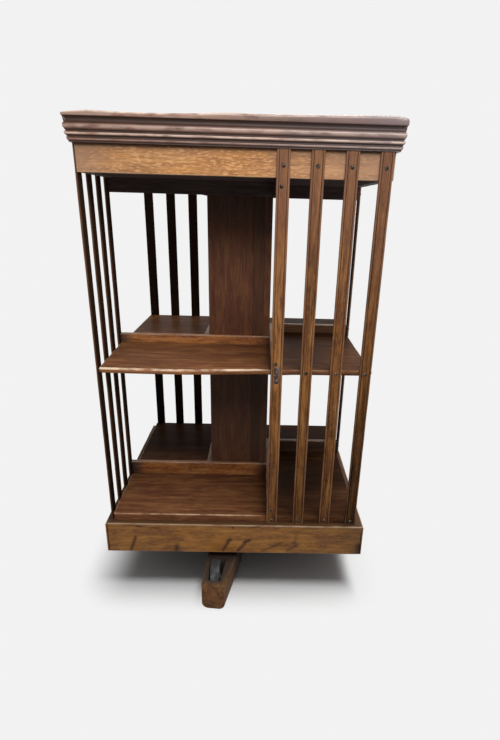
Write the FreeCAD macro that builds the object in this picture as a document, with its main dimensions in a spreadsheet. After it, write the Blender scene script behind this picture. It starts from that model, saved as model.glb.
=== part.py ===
import FreeCAD, Part
import math
import os

import Sketcher

# Revolving bookcase: a square two-tier oak case that turns on a post, on a cross base with inset wheels.
# Millimetres.  +Z is up, the front faces -Y, and the origin is on the turning axis at floor level.
# The case has four-fold pinwheel symmetry: each side is open on one half and slatted on the other.

Vec = FreeCAD.Vector
UP = Vec(0, 0, 1)
SIDES = ("front", "right", "back", "left")          # in steps of 90 degrees about the axis

# ----------------------------------------------------------------------------- driving dimensions
SIZES = (
    # stand
    ("floor_gap", 3.0, "underside of the cross beams above the floor"),
    ("leg_height", 52.0, "depth of a cross beam"),
    ("long_reach", 318.0, "axis to the end of the front and back legs"),
    ("short_reach", 270.0, "axis to the end of the legs at the sides"),
    ("leg_width", 62.0, "width of a beam"),
    ("toe_width", 43.0, "width of a leg at its end"),
    ("toe_length", 130.0, "tapered stretch of a leg"),
    ("leg_round", 12.0, "round along the lower edges of a beam"),
    ("stand_turn", -6.7, "turn of the cross about the axis, against the case, in degrees"),
    ("tenon_radius", 17.0, "round tenon of the post in the cross"),
    # wheels in the legs
    ("wheel_radius", 34.0, "tread radius"),
    ("wheel_width", 18.0, "width of the tread"),
    ("wheel_edge", 3.0, "chamfer of the tread's edges"),
    ("rim_depth", 9.0, "tread to the inside of the rim"),
    ("web_width", 9.0, "thickness of the disc between hub and rim"),
    ("hub_radius", 10.0, "outside of the hub"),
    ("hub_width", 20.0, "length of the hub"),
    ("wheel_back", 52.0, "end of a leg to the wheel centre, along the leg"),
    ("wheel_aside", 5.5, "wheel centre to the left of the leg's middle line"),
    ("wheel_skew", 6.7, "angle between a wheel and its leg, in degrees"),
    ("slot_room", 3.0, "room between the tread and the slot's ends"),
    ("slot_side", 2.0, "room between the wheel's left side and the slot, which runs beside it"),
    ("slot_right", 10.0, "right side of the slot from the leg's middle line, along the leg"),
    ("pin_radius", 4.0, "wheel pin"),
    ("pin_length", 40.0, "wheel pin"),
    ("pin_aside", 3.0, "middle of the pin to the right of the wheel's middle"),
    ("pin_play", 0.08, "radial clearance of a wheel on its pin"),
    ("drill_play", 0.05, "radial clearance of a pin in its leg"),
    # post and bearings
    ("wheel_clear", 10.0, "top of the wheels to the underside of the case"),
    ("foot_step", 5.0, "shoulder of the post on the cross, beyond the journal"),
    ("foot_gap", 9.0, "top of that shoulder to the flange of the guide bush"),
    ("journal_step", 3.0, "journal in the guide bush, beyond the shaft of the post"),
    ("journal_above", 6.0, "journal above the guide board"),
    ("journal_play", 0.08, "radial clearance of the bush on the post"),
    ("post_radius", 23.0, "shaft of the post"),
    ("post_gap", 7.0, "top of the post to the boss of the bearing plate"),
    ("post_chamfer", 3.0, "chamfers of the post"),
    ("spindle_radius", 8.0, "steel pivot pin"),
    ("spindle_sunk", 45.0, "length of the pivot pin inside the post"),
    ("spindle_play", 0.08, "radial clearance of the pivot pin in its cup"),
    ("spindle_lift", 0.3, "end gap over the pivot pin"),
    ("spindle_chamfer", 2.0, "chamfer of the pivot pin's tip"),
    ("plate_room", 4.0, "square bearing plate to the inside of the column"),
    ("plate_thick", 5.0, "bearing plate"),
    ("cup_radius", 16.0, "boss of the bearing plate"),
    ("cup_height", 12.0, "boss below the plate"),
    ("cup_depth", 14.0, "blind hole up into the boss"),
    ("bush_wall", 4.0, "wall of the guide bush"),
    ("bush_flange", 12.0, "flange of the bush beyond its wall"),
    ("flange_thick", 3.0, "flange of the bush"),
    ("guide_thick", 14.0, "board that holds the bush"),
    ("guide_lift", 8.0, "guide board above the lower edge of the base"),
    # base and shelves
    ("case_side", 463.0, "square of the shelves and of the frieze"),
    ("base_over", 9.0, "base beyond the slats"),
    ("base_height", 62.5, "base rails"),
    ("base_thick", 20.0, "base rails"),
    ("base_round", 2.5, "round along the top edge of a base rail"),
    ("bottom_thick", 14.5, "bottom shelf"),
    ("middle_thick", 10.0, "middle shelf"),
    ("shelf_round", 4.2, "bullnose of the middle shelf"),
    ("bottom_round", 2.0, "round of the bottom shelf's upper edge"),
    ("corner_round", 5.0, "upright corners of shelves and top"),
    ("lower_tier", 278.0, "clear height between the shelves"),
    ("upper_tier", 290.0, "clear height from the middle shelf to the ceiling"),
    ("post_room", 11.0, "post to the edge of the hole in the bottom shelf"),
    # column
    ("column_side", 118.0, "square box column round the post"),
    ("column_thick", 13.0, "its boards"),
    ("stave_width", 21.0, "narrow stave at the edge of each column board"),
    ("joint_width", 0.9, "fine groove at the glued joint"),
    ("joint_depth", 0.6, "the same groove"),
    # rails round the column
    ("rail_thick", 10.0, "thin rails against the column"),
    ("low_rail_height", 30.0, "book rails that stand on the bottom shelf"),
    ("high_rail_height", 19.0, "book rails that stand on the middle shelf"),
    ("under_height", 20.0, "bearers under the middle shelf"),
    ("under_thick", 14.0, "the same bearers"),
    ("under_aside", 5.0, "the same bearers, outside the line of the column's side"),
    ("hang_height", 22.5, "rails under the ceiling"),
    # frieze, cornice and top
    ("frieze_height", 38.0, "frieze rails"),
    ("frieze_thick", 18.0, "frieze rails"),
    ("ceiling_thick", 12.0, "board inside the frieze"),
    ("mitre_over", 5.0, "mitre cuts of the cornice beyond the wood"),
    ("top_over", 8.5, "edge of the top beyond the slats"),
    ("top_edge", 5.5, "thickness of the top's edge"),
    ("top_under", 2.8, "round below the edge"),
    ("top_nose", 2.4, "round above the edge"),
    ("field_inset", 6.5, "raised field behind the edge"),
    ("field_rise", 2.5, "raised field above the edge"),
    ("field_round", 2.2, "round of the raised field"),
    # slats
    ("slat_count", 4, "slats on each side, from the column to the corner"),
    ("slat_width", 20.0, "slat"),
    ("slat_thick", 4.0, "slat"),
    ("slat_setback", 2.2, "outer slat from the corner of the case"),
    ("slat_edge", 1.4, "round of a slat's edges"),
    ("quirk_inset", 3.8, "fine groove beside each edge of a slat"),
    ("quirk_width", 1.4, "the same groove"),
    ("quirk_depth", 0.9, "the same groove"),
    # fasteners
    ("head_radius", 3.1, "screw head"),
    ("head_flat", 1.7, "top of the screw head"),
    ("head_height", 1.7, "screw head"),
    ("head_sides", 8, "facets round a screw head"),
    ("shank_radius", 1.6, "screw shank"),
    ("shank_sides", 6, "facets round a screw shank"),
    ("screw_bite", 16.0, "length of a screw behind the slat"),
    ("screw_aside", 1.8, "screws into a rail's end, from the slat's middle towards the column"),
    ("frieze_screws", 16.5, "screws above the lower edge of the frieze"),
    ("strap_width", 8.0, "mending strap on the front's inner slat, at the middle shelf"),
    ("strap_thick", 0.8, "the same strap"),
    ("strap_above", 10.0, "strap above the screw in the shelf's edge"),
    ("strap_below", 19.5, "strap below the same screw"),
)

# Members of the cornice from the bottom up: name, rise, reach beyond the slats at its top, and bulge,
# which is how far its face swells beyond the chord (hollow if negative, straight if 0).
CORNICE = (
    ("foot", 0.8, 0.4, 0),
    ("ovolo", 3.7, 3.4, 0.9),
    ("ovolo_step", 0.6, 2.8, 0),
    ("hollow", 3.0, 4.6, -0.5),
    ("bead_step", 0.4, 5.1, 0),
    ("bead", 4.6, 5.1, 1.0),
    ("bead_back", 0.5, 4.4, 0),
    ("neck", 1.6, 4.4, -0.3),
    ("torus_step", 0.4, 4.9, 0),
    ("torus", 10.8, 5.0, 1.9),
    ("torus_back", 0.6, 4.4, 0),
    ("high_hollow", 2.2, 5.2, -0.5),
    ("crown_step", 0.4, 6.0, 0),
    ("crown", 2.4, 6.4, 0.4),
)
CORNICE_SIZES = tuple((f"{name}_{what}", size, f"{what} of the cornice's {name}")
                      for name, *sizes in CORNICE
                      for what, size in zip(("rise", "reach", "bulge"), sizes))

doc = FreeCAD.newDocument("RevolvingBookcase")
sheet = doc.addObject("Spreadsheet::Sheet", "Sizes")
for row, (alias, size, note) in enumerate(SIZES + CORNICE_SIZES, 1):
    sheet.set(f"A{row}", alias)
    sheet.set(f"B{row}", str(size))
    sheet.setAlias(f"B{row}", alias)
    sheet.set(f"C{row}", note)
doc.recompute()

# levels above the floor and half widths, as expressions on the sheet
BEAM_TOP = "(Sizes.floor_gap + Sizes.leg_height)"
CASE_BOTTOM = "(2 * Sizes.wheel_radius + Sizes.wheel_clear)"
BASE_TOP = f"({CASE_BOTTOM} + Sizes.base_height)"
LOWER_FLOOR = f"({BASE_TOP} + Sizes.bottom_thick)"
MIDDLE_UNDER = f"({LOWER_FLOOR} + Sizes.lower_tier)"
UPPER_FLOOR = f"({MIDDLE_UNDER} + Sizes.middle_thick)"
CEILING = f"({UPPER_FLOOR} + Sizes.upper_tier)"
CORNICE_BOTTOM = f"({CEILING} + Sizes.frieze_height)"
TOP_UNDER = f"({CORNICE_BOTTOM} + " + " + ".join(f"Sizes.{name}_rise" for name, *_ in CORNICE) + ")"
FIELD_FOOT = f"({TOP_UNDER} + Sizes.top_edge)"
CASE_HALF = "(Sizes.case_side / 2)"
SLAT_HALF = f"({CASE_HALF} + Sizes.slat_thick)"
BASE_HALF = f"({SLAT_HALF} + Sizes.base_over)"
TOP_HALF = f"({SLAT_HALF} + Sizes.top_over)"
COLUMN_HALF = "(Sizes.column_side / 2)"
COLUMN_INSIDE = f"({COLUMN_HALF} - Sizes.column_thick)"
LEG_REACH = ("Sizes.long_reach", "Sizes.short_reach")   # of the legs along Y and along X
JOURNAL = "(Sizes.post_radius + Sizes.journal_step)"
BOSS_LOW = f"({CEILING} - Sizes.plate_thick - Sizes.cup_height)"

TINY = 1e-3                                          # mm, for comparing places
parts = []                                           # every finished sub-part


def value(expression):
    """The number that an expression on the sheet gives."""
    return float(sheet.evalExpression(expression))


def finish(part, label):
    part.Label = label
    parts.append(part)
    return part


def new_body(label, turn=0.0):
    """A body whose own frame is the bookcase's, turned about the axis."""
    body = doc.addObject("PartDesign::Body", label)
    body.Placement = FreeCAD.Placement(Vec(), FreeCAD.Rotation(UP, turn))
    return finish(body, label)


def new_sketch(body, name, role, offset=None):
    sketch = body.newObject("Sketcher::SketchObject", f"{body.Name}_{name}")
    plane = next(f for f in body.Origin.OriginFeatures if f.Role == role)
    sketch.AttachmentSupport = [(plane, "")]
    sketch.MapMode = "FlatFace"
    if offset:
        sketch.setExpression("AttachmentOffset.Base.z", offset)
    return sketch


def outline(sketch, corners):
    """Closed loop through corners given as expressions (across, up).

    A corner with a third and fourth entry starts an arc to the next corner: its radius, and the side
    of the line of travel, "left" or "right", on which the arc's centre lies.
    """
    points = [Vec(value(c[0]), value(c[1]), 0) for c in corners]
    heads, tails = [], []
    for i, corner in enumerate(corners):
        here, there = points[i], points[(i + 1) % len(points)]
        if len(corner) == 2:
            geo = sketch.addGeometry(Part.LineSegment(here, there))
            heads.append((geo, 1))
            tails.append((geo, 2))
            continue
        radius, leftwards = value(corner[2]), corner[3] == "left"
        chord = there - here
        aside = Vec(-chord.y, chord.x, 0).normalize() * math.sqrt(radius ** 2 - chord.Length ** 2 / 4)
        centre = (here + there) * 0.5 + (aside if leftwards else -aside)
        first, last = (here, there) if leftwards else (there, here)
        begin = math.atan2(first.y - centre.y, first.x - centre.x)
        end = math.atan2(last.y - centre.y, last.x - centre.x)
        if end < begin:
            end += 2 * math.pi
        geo = sketch.addGeometry(Part.ArcOfCircle(Part.Circle(centre, UP, radius), begin, end))
        heads.append((geo, 1 if leftwards else 2))
        tails.append((geo, 2 if leftwards else 1))
        bind(sketch, f"radius{i}", corner[2], "Radius", geo)
    for i, corner in enumerate(corners):
        sketch.addConstraint(Sketcher.Constraint("Coincident", *tails[i - 1], *heads[i]))
        bind(sketch, f"across{i}_{heads[i][0]}", corner[0], "DistanceX", -1, 1, *heads[i])
        bind(sketch, f"up{i}_{heads[i][0]}", corner[1], "DistanceY", -1, 1, *heads[i])


def bind(sketch, name, expression, kind, *where):
    index = sketch.addConstraint(Sketcher.Constraint(kind, *where, value(expression)))
    sketch.renameConstraint(index, name)
    sketch.setExpression(f"Constraints.{name}", expression)


def circle(sketch, across, up, radius):
    geo = sketch.addGeometry(Part.Circle(Vec(value(across), value(up), 0), UP, value(radius)))
    bind(sketch, f"hole_radius{geo}", radius, "Radius", geo)
    bind(sketch, f"hole_across{geo}", across, "DistanceX", -1, 1, geo, 3)
    bind(sketch, f"hole_up{geo}", up, "DistanceY", -1, 1, geo, 3)


def rectangle(sketch, left, low, right, high):
    outline(sketch, [(left, low), (right, low), (right, high), (left, high)])


def pad(body, sketch, length, symmetric=False):
    feature = body.newObject("PartDesign::Pad", f"{sketch.Name}_pad")
    feature.Profile = sketch
    feature.setExpression("Length", length)
    feature.SideType = "Symmetric" if symmetric else "One side"
    return feature


def cut_up(body, sketch, length=None):
    """Pocket from the sketch upwards, through everything unless a length is given."""
    feature = body.newObject("PartDesign::Pocket", f"{sketch.Name}_cut")
    feature.Profile = sketch
    feature.Reversed = True
    if length:
        feature.setExpression("Length", length)
    else:
        feature.Type = "ThroughAll"
    return feature


def revolve(body, sketch, axis):
    feature = body.newObject("PartDesign::Revolution", f"{sketch.Name}_turned")
    feature.Profile = sketch
    feature.ReferenceAxis = (sketch, [axis])
    feature.Angle = 360
    return feature


def round_edges(body, radius, wanted):
    """Fillet on the edges of the body so far whose middle point and direction pass the test."""
    doc.recompute()
    base = body.Tip
    names = []
    for i, edge in enumerate(base.Shape.Edges, 1):
        span = edge.Vertexes[-1].Point - edge.Vertexes[0].Point
        if span.Length > TINY and wanted(edge.CenterOfMass, span.normalize()):
            names.append(f"Edge{i}")
    feature = body.newObject("PartDesign::Fillet", f"{body.Name}_round{len(body.Group)}")
    feature.Base = (base, names)
    feature.setExpression("Radius", radius)
    return feature


def near(a, b):
    return abs(a - b) < TINY


def turned(x, y, quarter):
    """Expressions of the point (x, y) after a number of quarter turns about the axis."""
    return ((x, y), (f"-({y})", x), (f"-({x})", f"-({y})"), (y, f"-({x})"))[quarter]


def box(name, low, high, quarter=0):
    """Part::Box between two corners given as expressions, turned by quarters about the axis."""
    block = doc.addObject("Part::Box", name)
    for side, a, b in zip(("Length", "Width", "Height"), low, high):
        block.setExpression(side, f"({b}) - ({a})")
    block.Placement = FreeCAD.Placement(Vec(), FreeCAD.Rotation(UP, 90 * quarter))
    x, y = turned(low[0], low[1], quarter)
    for axis, place in zip("xyz", (x, y, low[2])):
        block.setExpression(f"Placement.Base.{axis}", place)
    return block


def group(label, members):
    """Identical loose pieces in one node, each still a solid of its own."""
    bundle = doc.addObject("Part::Compound", label)
    bundle.Links = members
    return finish(bundle, label)


# ----------------------------------------------------------------------------- stand
def beam(label, quarter, notch_low, notch_high):
    """Cross beam: U-shaped section, tapered towards both toes, halved at the middle, slotted for wheels."""
    body = new_body(label, value("Sizes.stand_turn") + 90 * quarter)
    reach = LEG_REACH[quarter]
    stations = ((f"-{reach}", "Sizes.toe_width / 2"),
                (f"-({reach} - Sizes.toe_length)", "Sizes.leg_width / 2"),
                (f"({reach} - Sizes.toe_length)", "Sizes.leg_width / 2"),
                (reach, "Sizes.toe_width / 2"))
    sections = []
    low, high, r = "Sizes.floor_gap", BEAM_TOP, "Sizes.leg_round"
    for i, (station, half) in enumerate(stations):
        section = new_sketch(body, f"section{i}", "XZ_Plane", station)
        outline(section, [(f"-({half})", high), (f"-({half})", f"{low} + {r}", r, "left"),
                          (f"-({half}) + {r}", low), (f"({half}) - {r}", low, r, "left"),
                          (half, f"{low} + {r}"), (half, high)])
        sections.append(section)
    loft = body.newObject("PartDesign::AdditiveLoft", f"{label}_loft")
    loft.Profile = sections[0]
    loft.Sections = sections[1:]
    loft.Ruled = True
    # halving joint: a notch as wide as the other beam, half of the depth
    notch = new_sketch(body, "notch", "XY_Plane", notch_low)
    rectangle(notch, f"-{reach}", "-Sizes.leg_width / 2", reach, "Sizes.leg_width / 2")
    cut_up(body, notch, f"({notch_high}) - ({notch_low})")
    # slots for the wheels and the round hole for the post's tenon
    long_half = "(Sizes.wheel_radius + Sizes.slot_room)"
    left = "(Sizes.wheel_aside + Sizes.wheel_width / 2 + Sizes.slot_side)"
    lean = f"({long_half} * tan(Sizes.wheel_skew))"
    outer, inner = (f"(Sizes.wheel_back - {reach} {way} {long_half})" for way in "-+")
    corners = ((f"({lean} - {left})", outer), ("Sizes.slot_right", outer),
               ("Sizes.slot_right", inner), (f"(-{left} - {lean})", inner))
    for i, way in enumerate(("", "-")):
        slot = new_sketch(body, f"slot{i}", "XY_Plane")
        outline(slot, [(way + across, way + along) for across, along in corners])
        cut_up(body, slot)
    tenon = new_sketch(body, "tenon", "XY_Plane")
    circle(tenon, "0", "0", "Sizes.tenon_radius")
    cut_up(body, tenon)
    return body


def wheel_place(leg_angle, reach):
    """Wheel centre, and a turn that lays the X axis along its pin, for a leg at that angle from -Y."""
    turn = FreeCAD.Rotation(UP, leg_angle)
    centre = turn.multVec(Vec(-value("Sizes.wheel_aside"), value(f"Sizes.wheel_back - {reach}"),
                              value("Sizes.wheel_radius")))
    return centre, FreeCAD.Rotation(UP, leg_angle + value("Sizes.wheel_skew"))


def pin_place(leg_angle, reach, length):
    """Placement of a cylinder along +Z, so that it lies through the wheel and both cheeks of its slot."""
    centre, along = wheel_place(leg_angle, reach)
    turn = along.multiply(FreeCAD.Rotation(Vec(0, 1, 0), 90))
    return FreeCAD.Placement(centre + turn.multVec(UP) * value(f"Sizes.pin_aside - {length} / 2"), turn)


def drill(body, reach):
    """Holes for the wheel pins in both cheeks of both slots of a beam, in its own frame."""
    length = "(Sizes.pin_length + 2 * Sizes.drill_play)"
    for leg_angle in (0, 180):
        hole = body.newObject("PartDesign::SubtractiveCylinder", f"{body.Name}_pin_hole{leg_angle}")
        hole.setExpression("Radius", "Sizes.pin_radius + Sizes.drill_play")
        hole.setExpression("Height", length)
        hole.Placement = pin_place(leg_angle, reach, length)


def wheel(label, leg):
    """Plain disc wheel: broad tread with chamfered edges, thin disc, long hub; turned about its X axis."""
    body = new_body(label)
    body.Placement = FreeCAD.Placement(*wheel_place(value("Sizes.stand_turn") + 90 * leg, LEG_REACH[leg % 2]))
    profile = new_sketch(body, "profile", "XY_Plane")
    tread, edge, rim = "Sizes.wheel_radius", "Sizes.wheel_edge", "Sizes.wheel_width / 2"
    inside, web, hub = f"{tread} - Sizes.rim_depth", "Sizes.web_width / 2", "Sizes.hub_width / 2"
    bore = "Sizes.pin_radius + Sizes.pin_play"
    outline(profile, [
        (f"-{hub}", bore), (hub, bore), (hub, "Sizes.hub_radius"), (web, "Sizes.hub_radius"),
        (web, inside), (rim, inside), (rim, f"{tread} - {edge}"),
        (f"{rim} - {edge}", tread), (f"-({rim} - {edge})", tread),
        (f"-({rim})", f"{tread} - {edge}"), (f"-({rim})", inside), (f"-({web})", inside),
        (f"-({web})", "Sizes.hub_radius"), (f"-{hub}", "Sizes.hub_radius")])
    revolve(body, profile, "H_Axis")
    return body


def wheel_pins():
    pins = []
    for leg, side in enumerate(SIDES):
        pin = doc.addObject("Part::Cylinder", f"pin_{side}")
        pin.setExpression("Radius", "Sizes.pin_radius")
        pin.setExpression("Height", "Sizes.pin_length")
        pin.Placement = pin_place(value("Sizes.stand_turn") + 90 * leg, LEG_REACH[leg % 2],
                                  "Sizes.pin_length")
        pins.append(pin)
    return group("wheel_pins", pins)


def turned_piece(label, corners):
    """Piece of revolution about the turning axis, from its half profile (radius, height)."""
    body = new_body(label)
    profile = new_sketch(body, "profile", "XZ_Plane")
    outline(profile, corners)
    revolve(body, profile, "V_Axis")
    return body


def stand():
    half_way = "(Sizes.floor_gap + Sizes.leg_height / 2)"
    drill(beam("cross_beam_lower", 0, half_way, BEAM_TOP), LEG_REACH[0])
    drill(beam("cross_beam_upper", 1, "Sizes.floor_gap", half_way), LEG_REACH[1])
    foot_radius = f"{JOURNAL} + Sizes.foot_step"
    foot_top = f"({CASE_BOTTOM} + Sizes.guide_lift - Sizes.flange_thick - Sizes.foot_gap)"
    journal_top = f"({CASE_BOTTOM} + Sizes.guide_lift + Sizes.guide_thick + Sizes.journal_above)"
    post_top = f"({BOSS_LOW} - Sizes.post_gap)"
    spindle_foot = f"({post_top} - Sizes.spindle_sunk)"
    spindle_top = f"({BOSS_LOW} + Sizes.cup_depth - Sizes.spindle_lift)"
    turned_piece("centre_post", [
        ("0", "Sizes.floor_gap"), ("Sizes.tenon_radius", "Sizes.floor_gap"),
        ("Sizes.tenon_radius", BEAM_TOP), (foot_radius, BEAM_TOP),
        (foot_radius, f"{foot_top} - Sizes.post_chamfer"), (JOURNAL, foot_top), (JOURNAL, journal_top),
        ("Sizes.post_radius", f"{journal_top} + Sizes.post_chamfer"),
        ("Sizes.post_radius", f"{post_top} - Sizes.post_chamfer"),
        ("Sizes.post_radius - Sizes.post_chamfer", post_top), ("Sizes.spindle_radius", post_top),
        ("Sizes.spindle_radius", spindle_foot), ("0", spindle_foot)])
    turned_piece("pivot_pin", [
        ("0", spindle_foot), ("Sizes.spindle_radius", spindle_foot),
        ("Sizes.spindle_radius", f"{spindle_top} - Sizes.spindle_chamfer"),
        ("Sizes.spindle_radius - Sizes.spindle_chamfer", spindle_top), ("0", spindle_top)])
    for leg, side in enumerate(SIDES):
        wheel(f"castor_wheel_{side}", leg)
    wheel_pins()


# ----------------------------------------------------------------------------- case: base and bearings
def mitred_rail(label, quarter, low, height, outer, thick):
    """Rail of a square frame, its ends mitred at 45 degrees, lying on the front side before its turn."""
    body = new_body(label, 90 * quarter)
    plan = new_sketch(body, "plan", "XY_Plane", low)
    inner = f"({outer} - {thick})"
    outline(plan, [(f"-{outer}", f"-{outer}"), (outer, f"-{outer}"), (inner, f"-{inner}"),
                   (f"-{inner}", f"-{inner}")])
    pad(body, plan, height)
    return body


def base():
    for quarter, side in enumerate(SIDES):
        rail = mitred_rail(f"base_rail_{side}", quarter, CASE_BOTTOM, "Sizes.base_height", BASE_HALF,
                           "Sizes.base_thick")
        top, face = value(BASE_TOP), -value(BASE_HALF)
        round_edges(rail, "Sizes.base_round",
                    lambda mid, way: near(mid.z, top) and near(mid.y, face) and near(abs(way.x), 1))
    inside = f"({BASE_HALF} - Sizes.base_thick)"
    guide = new_body("guide_board")
    plan = new_sketch(guide, "plan", "XY_Plane", f"{CASE_BOTTOM} + Sizes.guide_lift")
    rectangle(plan, f"-{inside}", f"-{inside}", inside, inside)
    bore = f"{JOURNAL} + Sizes.journal_play"
    wall = f"{bore} + Sizes.bush_wall"
    circle(plan, "0", "0", wall)
    pad(guide, plan, "Sizes.guide_thick")
    board_low = f"({CASE_BOTTOM} + Sizes.guide_lift)"
    board_high = f"({board_low} + Sizes.guide_thick)"
    turned_piece("guide_bush", [
        (bore, f"{board_low} - Sizes.flange_thick"),
        (f"{wall} + Sizes.bush_flange", f"{board_low} - Sizes.flange_thick"),
        (f"{wall} + Sizes.bush_flange", board_low), (wall, board_low), (wall, board_high), (bore, board_high)])
    shelf = new_body("bottom_shelf")
    plan = new_sketch(shelf, "plan", "XY_Plane", BASE_TOP)
    rectangle(plan, f"-{CASE_HALF}", f"-{CASE_HALF}", CASE_HALF, CASE_HALF)
    circle(plan, "0", "0", "Sizes.post_radius + Sizes.post_room")
    pad(shelf, plan, "Sizes.bottom_thick")
    round_shelf(shelf, "Sizes.bottom_round", (LOWER_FLOOR,))


def round_shelf(shelf, radius, levels):
    """Round the upright corners of a square board, then its long edges at the given levels."""
    half, column = value(CASE_HALF), value(COLUMN_HALF)
    round_edges(shelf, "Sizes.corner_round",
                lambda mid, way: near(abs(way.z), 1) and near(abs(mid.x), half) and near(abs(mid.y), half))
    for level in levels:
        height = value(level)
        round_edges(shelf, radius,
                    lambda mid, way: near(mid.z, height) and max(abs(mid.x), abs(mid.y)) > column + TINY)


# ----------------------------------------------------------------------------- case: column and shelves
def column():
    """Box column of four boards in a pinwheel, each with a narrow stave glued to its free edge."""
    outer, inner = COLUMN_HALF, COLUMN_INSIDE
    seam = f"({inner} - Sizes.stave_width)"
    for quarter, side in enumerate(SIDES):
        body = new_body(f"column_board_{side}", 90 * quarter)
        plan = new_sketch(body, "plan", "XY_Plane", LOWER_FLOOR)
        outline(plan, [(f"-{outer}", f"-{outer}"), (f"{seam} - Sizes.joint_width / 2", f"-{outer}"),
                       (seam, f"-{outer} + Sizes.joint_depth"),
                       (f"{seam} + Sizes.joint_width / 2", f"-{outer}"), (inner, f"-{outer}"),
                       (inner, f"-{inner}"), (f"-{outer}", f"-{inner}")])
        pad(body, plan, f"{CEILING} - {LOWER_FLOOR}")


def rail_box(name, low, high, quarter):
    """Thin rail on the column's right side before its turn: from the slats to the column's far edge."""
    return box(name, (COLUMN_HALF, f"-{CASE_HALF}", low),
               (f"{COLUMN_HALF} + Sizes.rail_thick", COLUMN_HALF, high), quarter)


def shelves():
    middle = new_body("middle_shelf")
    plan = new_sketch(middle, "plan", "XY_Plane", MIDDLE_UNDER)
    rectangle(plan, f"-{CASE_HALF}", f"-{CASE_HALF}", CASE_HALF, CASE_HALF)
    rectangle(plan, f"-{COLUMN_HALF}", f"-{COLUMN_HALF}", COLUMN_HALF, COLUMN_HALF)
    pad(middle, plan, "Sizes.middle_thick")
    round_shelf(middle, "Sizes.shelf_round", (UPPER_FLOOR, MIDDLE_UNDER))
    for quarter, side in enumerate(SIDES):
        for tier, floor, height in (("lower", LOWER_FLOOR, "Sizes.low_rail_height"),
                                    ("upper", UPPER_FLOOR, "Sizes.high_rail_height")):
            name = f"book_rail_{tier}_{side}"
            finish(rail_box(name, floor, f"{floor} + {height}", quarter), name)
    left = f"({COLUMN_HALF} + Sizes.under_aside)"
    group("under_shelf_rails", [
        box(f"bearer_{side}", (left, f"-{CASE_HALF}", f"{MIDDLE_UNDER} - Sizes.under_height"),
            (f"{left} + Sizes.under_thick", f"-{COLUMN_HALF}", MIDDLE_UNDER), quarter)
        for quarter, side in enumerate(SIDES)])
    group("ceiling_rails", [
        rail_box(f"hanging_rail_{side}", f"{CEILING} - Sizes.hang_height", CEILING, quarter)
        for quarter, side in enumerate(SIDES)])


# ----------------------------------------------------------------------------- case: frieze, cornice, top
def cornice(side, quarter):
    """Cornice moulding, mitred at both ends; its foot covers the tops of the slats."""
    body = new_body(f"cornice_{side}", 90 * quarter)
    section = new_sketch(body, "section", "YZ_Plane")
    back = f"-({CASE_HALF} - Sizes.frieze_thick)"
    out, up = f"-({SLAT_HALF} + Sizes.foot_reach)", CORNICE_BOTTOM
    corners = [(back, CORNICE_BOTTOM)]
    for name, _, _, bulge in CORNICE:
        next_out, next_up = f"-({SLAT_HALF} + Sizes.{name}_reach)", f"{up} + Sizes.{name}_rise"
        if bulge:
            swell = f"abs(Sizes.{name}_bulge)"
            chord_squared = f"((({next_out}) - ({out})) ^ 2 + Sizes.{name}_rise ^ 2)"
            radius = f"({chord_squared} / 4 + {swell} ^ 2) / (2 * {swell})"
            corners.append((out, up, radius, "right" if bulge > 0 else "left"))
        else:
            corners.append((out, up))
        out, up = next_out, next_up
    outline(section, corners + [(out, up), (back, TOP_UNDER)])
    pad(body, section, f"2 * {TOP_HALF}", symmetric=True)
    far, deep = f"({TOP_HALF} + Sizes.mitre_over)", f"({CASE_HALF} - Sizes.frieze_thick - Sizes.mitre_over)"
    for i, way in enumerate(("-", "")):
        wedge = new_sketch(body, f"mitre{i}", "XY_Plane")
        outline(wedge, [(f"{way}{far}", f"-{far}"), (f"{way}{deep}", f"-{deep}"), (f"{way}{far}", f"-{deep}")])
        cut_up(body, wedge)
    return body


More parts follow.
